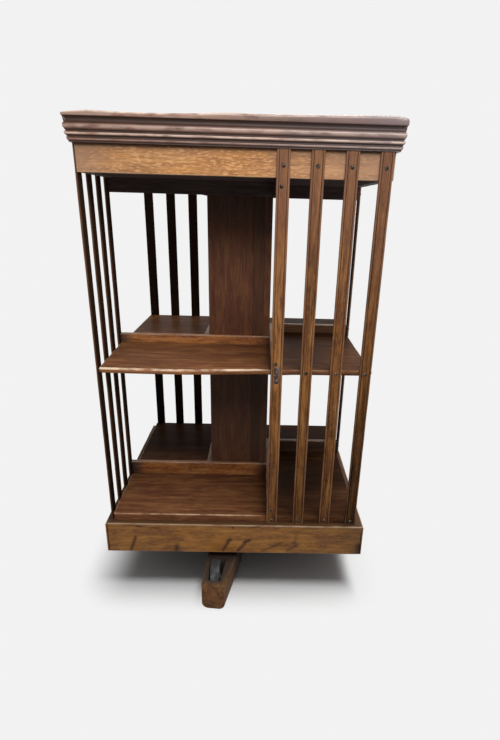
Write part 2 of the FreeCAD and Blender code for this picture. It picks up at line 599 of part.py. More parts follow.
def top():
    ring = f"({CASE_HALF} - Sizes.frieze_thick)"
    for quarter, side in enumerate(SIDES):
        mitred_rail(f"frieze_rail_{side}", quarter, CEILING, "Sizes.frieze_height", CASE_HALF,
                    "Sizes.frieze_thick")
        cornice(side, quarter)
    ceiling = new_body("ceiling_board")
    plan = new_sketch(ceiling, "plan", "XY_Plane", CEILING)
    rectangle(plan, f"-{ring}", f"-{ring}", ring, ring)
    pad(ceiling, plan, "Sizes.ceiling_thick")
    plate = new_body("bearing_plate")
    plan = new_sketch(plate, "plan", "XY_Plane", f"{CEILING} - Sizes.plate_thick")
    half = f"({COLUMN_INSIDE} - Sizes.plate_room)"
    rectangle(plan, f"-{half}", f"-{half}", half, half)
    pad(plate, plan, "Sizes.plate_thick")
    boss = new_sketch(plate, "boss", "XY_Plane", BOSS_LOW)
    circle(boss, "0", "0", "Sizes.cup_radius")
    pad(plate, boss, "Sizes.cup_height")
    cup = new_sketch(plate, "cup", "XY_Plane", BOSS_LOW)
    circle(cup, "0", "0", "Sizes.spindle_radius + Sizes.spindle_play")
    cut_up(plate, cup, "Sizes.cup_depth")
    board = new_body("top_board")
    plan = new_sketch(board, "plan", "XY_Plane", TOP_UNDER)
    rectangle(plan, f"-{TOP_HALF}", f"-{TOP_HALF}", TOP_HALF, TOP_HALF)
    pad(board, plan, "Sizes.top_edge")
    edge, under, foot = value(TOP_HALF), value(TOP_UNDER), value(FIELD_FOOT)
    round_edges(board, "Sizes.corner_round",
                lambda mid, way: near(abs(way.z), 1) and near(abs(mid.x), edge) and near(abs(mid.y), edge))
    round_edges(board, "Sizes.top_under", lambda mid, way: near(mid.z, under))
    round_edges(board, "Sizes.top_nose", lambda mid, way: near(mid.z, foot))
    field = new_sketch(board, "field", "XY_Plane", FIELD_FOOT)
    reach = f"({TOP_HALF} - Sizes.field_inset)"
    rectangle(field, f"-{reach}", f"-{reach}", reach, reach)
    pad(board, field, "Sizes.field_rise")
    crown = value(f"{FIELD_FOOT} + Sizes.field_rise")
    round_edges(board, "Sizes.field_round", lambda mid, way: near(mid.z, crown))


# ----------------------------------------------------------------------------- case: slats and fasteners
SLATS = int(value("Sizes.slat_count"))


def slat_left(i):
    """Left edge of slat i on the front side, from the column's edge to the corner of the case."""
    first, last = COLUMN_HALF, f"({CASE_HALF} - Sizes.slat_setback - Sizes.slat_width)"
    return f"({first} + ({last} - {first}) * {i} / {SLATS - 1})"


SHELF_SCREW = f"({MIDDLE_UNDER} + Sizes.middle_thick / 2)"
INNER_MIDDLE = f"({slat_left(0)} + Sizes.slat_width / 2)"


def slat(side, quarter, i):
    """Slat with two rounded, beaded edges; it stands on the base and ends under the cornice."""
    body = new_body(f"slat_{side}_{i + 1}", 90 * quarter)
    plan = new_sketch(body, "plan", "XY_Plane", BASE_TOP)
    left = slat_left(i)
    right = f"({left} + Sizes.slat_width)"
    back, face, r = f"-{CASE_HALF}", f"-{SLAT_HALF}", "Sizes.slat_edge"
    bottom, half = f"{face} + Sizes.quirk_depth", "Sizes.quirk_width / 2"
    dip_left, dip_right = f"{left} + Sizes.quirk_inset", f"{right} - Sizes.quirk_inset"
    outline(plan, [
        (left, back), (left, f"{face} + {r}", r, "left"), (f"{left} + {r}", face),
        (f"{dip_left} - {half}", face), (dip_left, bottom), (f"{dip_left} + {half}", face),
        (f"{dip_right} - {half}", face), (dip_right, bottom), (f"{dip_right} + {half}", face),
        (f"{right} - {r}", face, r, "left"), (right, f"{face} + {r}"), (right, back)])
    pad(body, plan, f"{CORNICE_BOTTOM} - {BASE_TOP}")


def screw_places():
    """Front side's screws before the quarter turns, as (across, height, whether one holds the strap)."""
    frieze = value(f"{CEILING} + Sizes.frieze_screws")
    middle = value(SHELF_SCREW)
    bottom = value(f"{BASE_TOP} + Sizes.bottom_thick / 2")
    places = []
    for i in range(1, SLATS):
        centre = value(f"{slat_left(i)} + Sizes.slat_width / 2")
        places += [(centre, frieze, False), (centre, middle, False), (centre, bottom, False)]
    # the slat beside the column also has a screw into the end of each rail and of the bearer
    centre = value(INNER_MIDDLE)
    aside = centre - value("Sizes.screw_aside")
    places += [(centre, frieze, False), (centre, middle, True), (centre, bottom, False),
               (centre, value(f"{MIDDLE_UNDER} - Sizes.under_height / 2"), True),
               (aside, value(f"{CEILING} - Sizes.hang_height / 2"), False),
               (aside, value(f"{UPPER_FLOOR} + Sizes.high_rail_height / 2"), False),
               (aside, value(f"{LOWER_FLOOR} + Sizes.low_rail_height / 2"), False)]
    return places


def ring(centre, out, radius, sides):
    """Closed polygon round a screw's axis, which points along out."""
    first = out.cross(UP).normalize() * radius
    corners = [centre + FreeCAD.Rotation(out, 360 * i / sides).multVec(first) for i in range(sides)]
    return Part.makePolygon(corners + corners[:1])


def screws():
    """All round-head wood screws of the slats, faceted: a plain shank under a low coned head."""
    face, strap = value(f"-{SLAT_HALF}"), value("Sizes.strap_thick")
    head, flat, tall = value("Sizes.head_radius"), value("Sizes.head_flat"), value("Sizes.head_height")
    shank, length = value("Sizes.shank_radius"), value("Sizes.slat_thick + Sizes.screw_bite")
    head_sides, shank_sides = int(value("Sizes.head_sides")), int(value("Sizes.shank_sides"))
    out = Vec(0, -1, 0)
    solids = []
    for quarter in range(4):
        for across, height, strapped in screw_places():
            seat = Vec(across, face - (strap if strapped and quarter == 0 else 0), height)
            crown = Part.makeLoft([ring(seat, out, head, head_sides),
                                   ring(seat + out * tall, out, flat, head_sides)], True, True)
            stem = Part.Face(ring(seat, out, shank, shank_sides)).extrude(-out * length)
            solids.append(crown.fuse(stem).removeSplitter().rotate(Vec(), UP, 90 * quarter))
    feature = doc.addObject("Part::Feature", "slat_screws")
    feature.Shape = Part.makeCompound(solids)
    return finish(feature, "slat_screws")


def mending_strap():
    """Thin metal strap over the front's inner slat where it meets the middle shelf."""
    left = f"({INNER_MIDDLE} - Sizes.strap_width / 2)"
    strap = box("mending_strap",
                (left, f"-{SLAT_HALF} - Sizes.strap_thick", f"{SHELF_SCREW} - Sizes.strap_below"),
                (f"{left} + Sizes.strap_width", f"-{SLAT_HALF}", f"{SHELF_SCREW} + Sizes.strap_above"))
    return finish(strap, "mending_strap")


stand()
base()
column()
shelves()
top()
for quarter, side in enumerate(SIDES):
    for i in range(SLATS):
        slat(side, quarter, i)
screws()
mending_strap()
doc.recompute()

# ----------------------------------------------------------------------------- checks and export
for thing in doc.Objects:
    if "Invalid" in thing.State or "Error" in thing.State:
        raise SystemExit(f"{thing.Label} failed: {thing.State}")
for part in parts:
    if part.Shape.isNull() or not part.Shape.isValid() or not part.Shape.Solids:
        raise SystemExit(f"{part.Label} has no valid shape")

os.makedirs("parts", exist_ok=True)
for part in parts:
    part.Shape.exportStep(f"parts/{part.Label}.step")
box_all = Part.makeCompound([part.Shape for part in parts]).optimalBoundingBox(True, False)
print(f"{len(parts)} parts, {sum(len(p.Shape.Solids) for p in parts)} solids, "
      f"{box_all.XLength:.1f} x {box_all.YLength:.1f} x {box_all.ZLength:.1f} mm")
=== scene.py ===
import math

import bmesh
import bpy
import numpy as np
from mathutils import Matrix, Vector


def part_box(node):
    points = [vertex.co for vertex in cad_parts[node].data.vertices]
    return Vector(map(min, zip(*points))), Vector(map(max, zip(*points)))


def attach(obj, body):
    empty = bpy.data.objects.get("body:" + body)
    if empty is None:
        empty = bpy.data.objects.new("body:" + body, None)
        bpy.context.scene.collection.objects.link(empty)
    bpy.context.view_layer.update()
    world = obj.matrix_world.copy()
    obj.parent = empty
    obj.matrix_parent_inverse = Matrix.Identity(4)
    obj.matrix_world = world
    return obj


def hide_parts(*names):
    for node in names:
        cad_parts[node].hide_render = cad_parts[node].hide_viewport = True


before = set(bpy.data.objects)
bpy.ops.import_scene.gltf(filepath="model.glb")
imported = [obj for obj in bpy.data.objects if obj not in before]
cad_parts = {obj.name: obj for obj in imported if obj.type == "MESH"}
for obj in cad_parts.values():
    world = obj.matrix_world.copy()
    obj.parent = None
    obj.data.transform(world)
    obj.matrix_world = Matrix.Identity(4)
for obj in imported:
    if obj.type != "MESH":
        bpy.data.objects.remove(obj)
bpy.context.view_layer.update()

sides = ("front", "right", "back", "left")      # quarter turns about the post, from -Y
mm = 0.001
print("frame loaded:", len(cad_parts), "nodes")

# What all pieces share.
look = {
    "arcSteps": 6,                 # points on each rounded arris
    "wideArc": 4.0,                # mm radius, from which only the middle of an arc is rubbed
    "margins": (1.2, 4.0, 12.0),   # mm from an arris, where its wear fades out
    "wearReach": 1.3,              # mm over which that wear falls to a third
    "mitreRub": 0.6,               # wear of mitred ends
    "plankPull": 0.35,             # mean share of worn by which wear pulls in a plank's points
    "squarePull": 0.3,             # and those of mouldings and square boards
    "mostPull": 1.5,               # most of either
    "spacing": 14.0,               # mm between stations along a board
    "squareSpacing": 16.0,         # mm between stations along a moulding or round a square board
    "strokeSpacing": 2.5,          # mm between stations where a face has bruises
    "leastRound": 0.15,            # mm radius of a square's innermost corners
    "sharpAngle": 38.0,            # degrees, above which two faces meet in a crisp edge
    # the dark that the mark value mixes in: old wax, dirt and bruises, and painted shade in hollows, grooves,
    # under parts and on inner faces
    "grime": "#22160f",            # old wax and dirt in corners, bruises and grooves
}


def linear(hexColour):
    # sRGB hex to the linear values that shaders take
    values = [int(hexColour[i:i + 2], 16) / 255 for i in (1, 3, 5)]
    return tuple(v / 12.92 if v <= 0.04045 else ((v + 0.055) / 1.055) ** 2.4 for v in values) + (1.0,)


def waves(x, seed, lengths=(0.31, 0.13, 0.057), count=3):
    # sum of sines with random phases, between about -1 and 1; lengths in metres
    rng = np.random.default_rng(seed)
    total = np.zeros(np.shape(x))
    for length in lengths:
        for _ in range(count):
            stretch = rng.uniform(0.7, 1.4)
            total += np.sin(2 * np.pi * (np.asarray(x) / (length * stretch) + rng.uniform()))
    return total / (len(lengths) * count) * 1.8


def quarterTurn(points, quarter):
    # (x, y) goes to (-y, x) once for each quarter
    points = np.array(points, float)
    for _ in range(quarter):
        points[..., 0], points[..., 1] = -points[..., 1].copy(), points[..., 0].copy()
    return points


def frontBox(node, quarter=0):
    # the node's box, turned back to the front side, in metres
    corners = quarterTurn(np.array(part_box(node)), (4 - quarter) % 4)
    return corners.min(0), corners.max(0)


def merged(mesh, distance):
    # an editable copy of a mesh with its doubles merged
    made = bmesh.new()
    made.from_mesh(mesh)
    bmesh.ops.remove_doubles(made, verts=made.verts, dist=distance)
    return made


def linked(name, data):
    # a new object in the scene
    item = bpy.data.objects.new(name, data)
    bpy.context.scene.collection.objects.link(item)
    return item


def looseBoxes(node):
    # the box of each separate solid in a node
    made = merged(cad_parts[node].data, 1e-6)
    boxes, left = [], set(made.verts)
    while left:
        island, edge = set(), [next(iter(left))]
        while edge:
            vert = edge.pop()
            if vert not in island:
                island.add(vert)
                edge += [e.other_vert(vert) for e in vert.link_edges]
        left -= island
        places = np.array([v.co for v in island])
        boxes.append((places.min(0), places.max(0)))
    made.free()
    return sorted(boxes, key=lambda b: tuple(np.round(b[0] + b[1], 4)))


def rectangle(half):
    # corners of a rectangle of these half sizes round the origin
    return np.array([(-1, -1), (1, -1), (1, 1), (-1, 1)]) * half


def roundedOutline(corners, radii, rubs=None):
    # closed outline: every corner becomes an arc of its radius, tangent to both sides, and each side gets
    # points at the margins from its arcs; returns the points and how rubbed each one is, which is the
    # corner's rub over its arc (strongest in the middle of a wide arc) and falls off along the sides
    corners, radii, wide = np.array(corners, float), np.array(radii, float), look["wideArc"] * mm
    rubs = np.ones(len(radii)) if rubs is None else np.array(rubs, float)
    a, b = np.roll(corners, 1, 0) - corners, np.roll(corners, -1, 0) - corners
    lengths = np.linalg.norm(b, axis=1)
    a, b = a / np.roll(lengths, 1)[:, None], b / lengths[:, None]
    halves = np.arccos(np.clip((a * b).sum(1), -1, 1)) / 2
    cuts, points, wears = radii / np.tan(halves), [], []
    t = np.linspace(0, 1, look["arcSteps"])
    for i, (here, radius, rub, half) in enumerate(zip(corners, radii, rubs, halves)):
        if radius:
            middle = (a[i] + b[i]) / np.linalg.norm(a[i] + b[i])
            centre, sweep = here + middle * radius / math.sin(half), math.pi - 2 * half
            start, end = here + a[i] * cuts[i] - centre, here + b[i] * cuts[i] - centre
            arc = np.sin((1 - t) * sweep)[:, None] * start + np.sin(t * sweep)[:, None] * end
            points.append(centre + arc / math.sin(sweep))
            wears.append(rub * (1 - min(radius / wide, 1) * np.abs(2 * t - 1) ** 2))
        else:
            points.append(here[None])
            wears.append([rub])
        j = (i + 1) % len(corners)
        gap = lengths[i] - cuts[i] - cuts[j]
        steps = np.array([m * mm for m in look["margins"] if m * mm < gap / 2 - 0.5 * mm])
        along = cuts[i] + np.concatenate([steps, gap - steps[::-1]])
        points.append(here + b[i] * along[:, None])
        fade = np.exp(-steps / (look["wearReach"] * mm))
        wears += [rub * (radius < wide) * fade, rubs[j] * (radii[j] < wide) * fade[::-1]]
    return np.concatenate(points), np.concatenate(wears)


def filled(outline, wear, step=2.5):
    # more points on each long side of an outline, one every step mm, for marks that fade along it
    points, wears = [], []
    for here, there, rub, after in zip(outline, np.roll(outline, -1, 0), wear, np.roll(wear, -1)):
        count = max(1, int(np.linalg.norm(there - here) / (step * mm)))
        t = np.linspace(0, 1, count, endpoint=False)
        points.append(here + (there - here) * t[:, None])
        wears.append(rub + (after - rub) * t)
    return np.concatenate(points), np.concatenate(wears)


def boardOutline(inner, outer, low, high, radii, rubs, step=2.5):
    # a board's section as (distance from the axis, height) between two corners of its box, radii in mm
    corners = [(inner, low[2]), (outer, low[2]), (outer, high[2]), (inner, high[2])]
    return filled(*roundedOutline(corners, [radius * mm for radius in radii], rubs), step)


def stationsFor(length, radius):
    # places along a board: a quarter arc at each end, the margins, then even steps between; also how far the
    # arcs draw the section in there, and the wear
    turn = np.linspace(0, np.pi / 2, look["arcSteps"])
    margins = np.array([m * mm for m in look["margins"] if radius + m * mm < length / 2 - mm])
    places = np.concatenate([radius * (1 - np.cos(turn)), radius + margins])
    insets = np.concatenate([radius * (1 - np.sin(turn)), 0 * margins])
    wear = np.concatenate([np.ones(len(turn)), np.exp(-margins / (look["wearReach"] * mm))])
    inner = length - 2 * places[-1]
    between = np.linspace(0, 1, max(2, int(inner / (look["spacing"] * mm))) + 1)[1:-1] * inner + places[-1]
    places = np.concatenate([places, between, length - places[::-1]]) - length / 2
    insets, wear = (np.concatenate([a, 0 * between, a[::-1]]) for a in (insets, wear))
    return places, insets, wear


def skin(loops, closeRows=False):
    # quads between neighbouring closed loops; a fan to each end's middle closes a tube with open rows
    rows, count = loops.shape[:2]
    index = np.arange(rows * count).reshape(rows, count)
    first, second = (index, np.roll(index, -1, 0)) if closeRows else (index[:-1], index[1:])
    quads = np.stack([first, np.roll(first, -1, 1), np.roll(second, -1, 1), second], -1).reshape(-1, 4)
    points, triangles = loops.reshape(-1, 3), np.zeros((0, 3), int)
    if not closeRows:
        low, high = index[0], index[-1]
        triangles = np.concatenate([
            np.stack([np.roll(low, -1), low, np.full(count, rows * count)], -1),
            np.stack([high, np.roll(high, -1), np.full(count, rows * count + 1)], -1)])
        points = np.concatenate([points, [loops[0].mean(0), loops[-1].mean(0)]])
    return points, quads, triangles


class Parts:
    # surfaces gathered for one piece, with the coordinates of their grain and four values for the finish:
    # wear (rubbed bare, on the cornice crests and the top's nose partly a painted highlight), tone (lighter
    # or darker board, and painted shade where it goes by place), dull (greyed by air and hands, on the top
    # and cornice partly a painted sheen), mark (bruised or dirty dark, and painted shade in hollows and
    # grooves, under parts and on inner faces)

    def __init__(self):
        self.points, self.faces, self.count = [], [], 0
        self.values = {"grain": [], "wear": [], "tone": [], "dull": [], "mark": []}

    def add(self, loops, along=0, seed=0, quarter=0, closeRows=False, **values):
        # a skin over loops, whose faces point outwards if the sum of their signed tetrahedra is positive; its
        # grain runs along an axis, and its values, one per point of the loops, are 0 in the ends' middles
        points, quads, triangles = skin(loops, closeRows)
        halves = np.concatenate([quads[:, :3], quads[:, [0, 2, 3]], triangles])
        a, b, c = (points[halves[:, k]] for k in (0, 1, 2))
        way = -1 if np.einsum("ij,ij", a, np.cross(b, c)) < 0 else 1
        self.points += quarterTurn(points, quarter).tolist()
        self.faces += (quads[:, ::way] + self.count).tolist() + (triangles[:, ::way] + self.count).tolist()
        self.values["grain"].append(grainOf(points, along, seed).ravel())
        for key in ("wear", "tone", "dull", "mark"):
            given = np.ravel(values.get(key, 0.0)) + np.zeros(loops[..., 0].size)
            self.values[key].append(np.append(given, np.zeros(len(points) - len(given))))
        self.count += len(points)
        return self

    def make(self, node, material, slot, body="case", name=None):
        # the piece has its node's name without the underscores, or a name of its own
        first, *rest = node.split("_")
        name = name or first + "".join(word.capitalize() for word in rest)
        mesh = bpy.data.meshes.new(name)
        mesh.from_pydata(self.points, [], self.faces)
        values = {key: np.concatenate(given) for key, given in self.values.items()}
        finishPiece(name, mesh, values, [node], material, body)


def finishPiece(name, mesh, values, nodes, material, body):
    # values kept as attributes, doubles merged, smooth shading with crisp arrises, then placed in the frame
    for key, given in values.items():
        kind, field = ("FLOAT_VECTOR", "vector") if key == "grain" else ("FLOAT", "value")
        mesh.attributes.new(key, kind, "POINT").data.foreach_set(field, given.astype(np.float32))
    made = merged(mesh, 2e-6)
    bmesh.ops.dissolve_degenerate(made, edges=made.edges, dist=1e-7)
    made.to_mesh(mesh)
    made.free()
    mesh.polygons.foreach_set("use_smooth", np.ones(len(mesh.polygons), bool))
    mesh.set_sharp_from_angle(angle=math.radians(look["sharpAngle"]))
    mesh.materials.append(materials[material])
    piece = linked(name, mesh)
    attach(piece, body)
    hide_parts(*nodes)


def grainOf(points, along, seed):
    # coordinates in the board's own direction, shifted so that no two boards share a figure
    rng = np.random.default_rng(1000 + seed)
    order = [along] + [axis for axis in (0, 1, 2) if axis != along]
    return points[:, order] + rng.uniform(-3, 3, 3)


def toneOf(seed, spread):
    # how much lighter or darker than the others a board is
    return float(np.random.default_rng(500 + seed).uniform(-spread, spread))


def alongValues(places, base, fades):
    # a finish value at places along a board: its base plus straight lines between (place, value) pairs
    return {key: (base if key == "tone" else 0.0) + np.interp(places, *zip(*pairs))
            for key, pairs in {"tone": ((0, 0), (1, 0)), **fades}.items()}


def rubbedIn(pull, worn, wear):
    # how far wear pulls a point in: a share between 0 and the most, times worn in mm, times its wear
    return np.clip(pull, 0, look["mostPull"]) * worn * mm * wear


def plank(parts, low, high, along, quarter, seed, radius, worn=0.25, spread=0.5, section=None, fades={},
          endRub=1.0):
    # a section carried along one axis; near an arris each point is pulled in by a few waves of wear
    others = [axis for axis in (0, 1, 2) if axis != along]
    half, centre = (high - low)[others] / 2, (low + high) / 2
    radius = min(radius * mm, half.min() * 0.9)
    outline, wear, dull, mark = section or (*roundedOutline(rectangle(half), [radius] * 4), 0.0, 0.0)
    places, insets, endWear = stationsFor((high - low)[along], radius)
    pull = np.stack([waves(places + 0.37 * i, seed * 7 + i) for i in range(4)], -1)
    corner = (outline[:, 0] > 0) * 1 + (outline[:, 1] > 0) * 2
    pulled = np.sign(outline)[None] * rubbedIn(look["plankPull"] + pull[:, corner], worn, wear)[..., None]
    loops = np.empty((len(places), len(outline), 3))
    loops[..., along] = places[:, None]
    loops[..., others] = outline[None] * (1 - insets[:, None] / half)[:, None] - pulled
    grid = np.zeros(loops.shape[:2])
    values = alongValues(places + centre[along], toneOf(seed, spread), fades)
    values = {key: value[:, None] + grid for key, value in values.items()}
    values["dull"] = np.clip(values.get("dull", 0.0) + dull + grid, 0, 1)
    values["mark"] = mark + grid
    values["wear"] = np.maximum(wear[None], endRub * endWear[:, None])
    return parts.add(loops + centre, along, seed, quarter, **values)


def mitred(own, node, quarter, outline, wear, mark, strokes):
    # outline of (distance from the axis, height) carried along X; at both ends |x| is each point's own
    # distance, which makes the 45 degree mitre; strokes need stations close together
    reach, seed = outline[:, 0], own["seed"] + quarter
    count = int(2 * reach.max() / (look["strokeSpacing" if strokes else "squareSpacing"] * mm))
    ends = np.array([0.0, 0.002, 0.006, 0.016])
    share = np.concatenate([-1 + ends, np.linspace(-1, 1, count)[1:-1], 1 - ends[::-1]])
    x = share[:, None] * reach[None]
    pull = rubbedIn(look["squarePull"] + waves(x, seed), own["worn"], wear[None])
    away = np.sign(outline - outline.mean(0))
    y = -(reach[None] - away[None, :, 0] * pull)
    z = outline[None, :, 1] - away[None, :, 1] * pull
    values = alongValues(x, toneOf(seed, own["spread"]), own["fades"])
    endWear = np.exp(-(1 - np.abs(share)) * reach.max() / (look["wearReach"] * mm))[:, None]
    values["wear"] = np.maximum(wear[None] + 0 * x, look["mitreRub"] * endWear)
    values["mark"] = np.maximum(mark + 0 * x, strokeMarks(x, z, strokes))
    Parts().add(np.stack([x, y, z], -1), 0, seed, quarter, **values).make(node, own["finish"], own["slot"])


def strokeMarks(x, z, strokes):
    # each stroke is a straight line in the face, (x, z) to (x, z) in mm with a width and a strength: its
    # mark falls off as exp(-(distance / width)^2)
    marks = np.zeros_like(x)
    for x0, z0, x1, z1, width, strength in strokes:
        start, run = np.array((x0, z0)) * mm, np.array((x1 - x0, z1 - z0)) * mm
        t = np.clip(((x - start[0]) * run[0] + (z - start[1]) * run[1]) / (run @ run), 0, 1)
        distance = np.hypot(x - start[0] - t * run[0], z - start[1] - t * run[1])
        marks = np.maximum(marks, strength * np.exp(-(distance / (width * mm)) ** 2))
    return marks


def squareLoops(outline, wear, corner, seed, worn):
    # outline of (distance from the axis, height) carried round a square whose corners have that radius;
    # the radius shrinks for points further in, so that all corners share one centre
    far = outline[:, 0].max()
    count = int(2 * far / (look["squareSpacing"] * mm))
    side = np.linspace(-1, 1, count + 1)
    turn = np.linspace(0, np.pi / 2, look["arcSteps"] + 2)
    loops, shares = [], []
    for (reach, height), rub in zip(outline, wear):
        radius = max(corner * mm - (far - reach), look["leastRound"] * mm)
        straight = reach - radius
        run = np.stack([side * straight, np.full(count + 1, -reach)], -1)
        bend = np.stack([straight + radius * np.sin(turn), -straight - radius * np.cos(turn)], -1)[1:-1]
        quarter = np.concatenate([run, bend])
        ring = np.concatenate([quarterTurn(quarter, k) for k in range(4)])
        angle = np.arctan2(ring[:, 1], ring[:, 0])
        pull = rubbedIn(look["squarePull"] + waves(angle * far, seed), worn, rub)
        ring = ring * (1 - pull / reach)[:, None]
        loops.append(np.concatenate([ring, np.full((len(ring), 1), height)], -1))
        shares.append(np.full(len(ring), rub))
    return np.array(loops), np.array(shares)


def bent(points, profile, front, back):
    # what the warp of an old board adds to its height: the profile, (x in m, mm) along its front edge,
    # fading evenly in y from front to back
    added = np.interp(points[..., 0], *zip(*profile)) * mm
    return added * np.interp(points[..., 1], (front, back), (1.0, 0.0))


def lathe(profile, steps):
    # profile of (radius, along) turned about the along axis, as closed loops of (x, y, along)
    angle = np.linspace(0, 2 * np.pi, steps, endpoint=False)
    return np.stack([profile[:, :1] * np.cos(angle), profile[:, :1] * np.sin(angle),
                     profile[:, 1:] + 0 * angle], -1)


def add(tree, kind, feeds=None, stops=(), out=0, **settings):
    # one node: its settings, its inputs by name or number (a value, an sRGB hex or the socket that drives
    # it) and a ramp's stops as (place, grey or hex); gives back one output, or the node if it has none
    node = tree.nodes.new("ShaderNode" + kind)
    for key, value in settings.items():
        setattr(node, key, value)
    for key, value in (feeds or {}).items():
        if isinstance(value, bpy.types.NodeSocket):
            tree.links.new(value, node.inputs[key])
        else:
            node.inputs[key].default_value = linear(value) if isinstance(value, str) else value
    elements = node.color_ramp.elements if stops else []
    while len(elements) < len(stops):
        elements.new(0.5)
    for element, (place, shade) in zip(elements, stops):
        element.position = place
        element.color = linear(shade) if isinstance(shade, str) else (shade, shade, shade, 1.0)
    return node.outputs[out] if len(node.outputs) else node


def emptyMaterial(name):
    material = bpy.data.materials.new(name)
    material.use_nodes = True
    material.node_tree.nodes.clear()
    return material, material.node_tree


# Oak under old stain, oil and wax.  Light, middle and dark run through the growth figure, which is sharp
# where spread is small, and streak is how deep the dark lines between bundles of fibres are.  Patch is where
# the stain lies thick and glow where the finish is rubbed thin, over shares blotch and bare.  Grey is what
# air and hands make of it, and on the top and cornice also a painted sheen.  Arris is the colour of edges,
# bare as far as rubbed says, and on the top's nose and the cornice crests partly a painted highlight.  Fleck
# is how strongly the rays of quarter-sawn oak show, gloss the specular level and wax the share of the clear
# coat.
woodColumns = ("light", "middle", "dark", "patch", "glow", "grey", "arris",
               "streak", "spread", "fleck", "blotch", "bare", "rubbed", "roughness", "gloss", "wax")
woods = {
    # the top's pale nose and crests are partly a painted highlight, its grey partly a painted sheen
    "waxedDarkOakTop": (   # dark and polished, pale and duller where mouldings are rubbed
        "#8e5d43", "#6c4332", "#331c14", "#4a2a20", "#8f624c", "#776a6b", "#cfb7a6",
        0.5, 0.3, 0.1, 0.5, 0.3, 0.8, 0.3, 0.3, 0.12),
    "quarteredOakFrieze": (   # golden, with bright ray flecks and a low varnish sheen
        "#d19d68", "#a67443", "#805230", "#8f5a33", "#c08441", "#8a6c58", "#a98460",
        0.55, 0.34, 0.65, 0.35, 0.4, 0.8, 0.45, 0.25, 0.05),
    "oiledOakSlat": (   # streaked brown with almost no sheen
        "#9a6c40", "#70492b", "#412617", "#573322", "#946230", "#705143", "#80604c",
        0.8, 0.2, 0.3, 0.5, 0.4, 0.5, 0.5, 0.03, 0.0),
    "polishedRedOakShelf": (   # even red-brown, with a pale rubbed nose
        "#96673f", "#734931", "#4d2e20", "#522f22", "#94663f", "#55433a", "#dcc3a6",
        0.35, 0.36, 0.12, 0.45, 0.45, 0.95, 0.4, 0.008, 0.0),
    "varnishedOakRail": (   # orange-brown, glossier than the shelf under it
        "#bd8450", "#905b33", "#5c331f", "#75391f", "#b27537", "#4b3a34", "#9f8470",
        0.6, 0.24, 0.3, 0.55, 0.5, 0.6, 0.38, 0.2, 0.05),
    "darkRedOakColumn": (   # dark red-brown with a soft sheen
        "#6f4932", "#583727", "#41251b", "#4a2820", "#744c2c", "#38281f", "#5c4637",
        0.5, 0.34, 0.25, 0.45, 0.35, 0.3, 0.42, 0.08, 0.0),
    # painted shade: the hidden boards inside the case are made nearly black and matt
    "paintedShadeBlackOak": (   # nearly black and matt
        "#544541", "#443937", "#2f2726", "#382e2d", "#52443e", "#443b38", "#5c4c44",
        0.5, 0.3, 0.0, 0.4, 0.2, 0.2, 0.7, 0.0, 0.0),
    "goldenOakBase": (   # golden brown with a worn varnish sheen
        "#9c6c35", "#72491f", "#462a13", "#5a3518", "#9a682c", "#50403a", "#9a8066",
        0.4, 0.36, 0.25, 0.5, 0.45, 0.75, 0.4, 0.2, 0.05),
    "wornOakFoot": (   # brown gone grey and matt, golden on sawn ends
        "#7d5a34", "#553a24", "#281b15", "#553020", "#755330", "#453b35", "#7b6a5b",
        0.7, 0.26, 0.3, 0.6, 0.4, 0.65, 0.6, 0.1, 0.0),
}

# Noise layers of oak: mean size in mm along, across and through the board, detail and distortion.  Fibres and
# pores of real oak are 0.1 to 0.3 mm wide and are drawn coarser here, so that they show.
oakLayers = {
    "sway": ((160, 45, 45), 1.0, 0.0),       # slow wander of the grain
    "figure": ((150, 7, 9), 3.0, 0.5),       # growth rings, 7 mm apart
    "fibre": ((45, 2.2, 2.2), 3.0, 0.1),     # bundles of fibres
    "pore": ((16, 1.3, 1.3), 1.0, 0.0),      # open pores
    "ray": ((8, 1.1, 2.0), 1.0, 0.1),        # medullary rays
    "stain": ((90, 32, 32), 3.0, 0.2),       # thick and thin stain
    "thin": ((48, 13, 13), 3.0, 0.4),        # finish rubbed thin by hands and books
    "rub": ((28, 28, 9), 2.0, 0.0),          # where an arris is rubbed bare
}

# Ramps over those layers and over the wear, as (place, value); a word is the finish's own value.
oakRamps = {
    "fibre": ((0.36, 0.3), (0.58, 1.0)),
    "pore": ((0.58, 0.0), (0.72, 0.5)),
    "ray": ((0.5, 0.0), (0.66, "fleck")),
    "stain": ((0.42, "blotch"), (0.58, 0.0)),
    "thin": ((0.48, 0.0), (0.66, "bare")),
    "rub": ((0.35, 0.15), (0.56, "rubbed")),
    "wear": ((0.3, 0.0), (0.9, 1.0)),
}
gains = {"sway": 8.0, "tone": 0.35, "satin": 0.2, "markRough": 0.5, "fibreRelief": 0.5, "bump": 0.3,
         "depth": 0.2, "coatRough": 0.2}      # sway and depth of the relief in mm


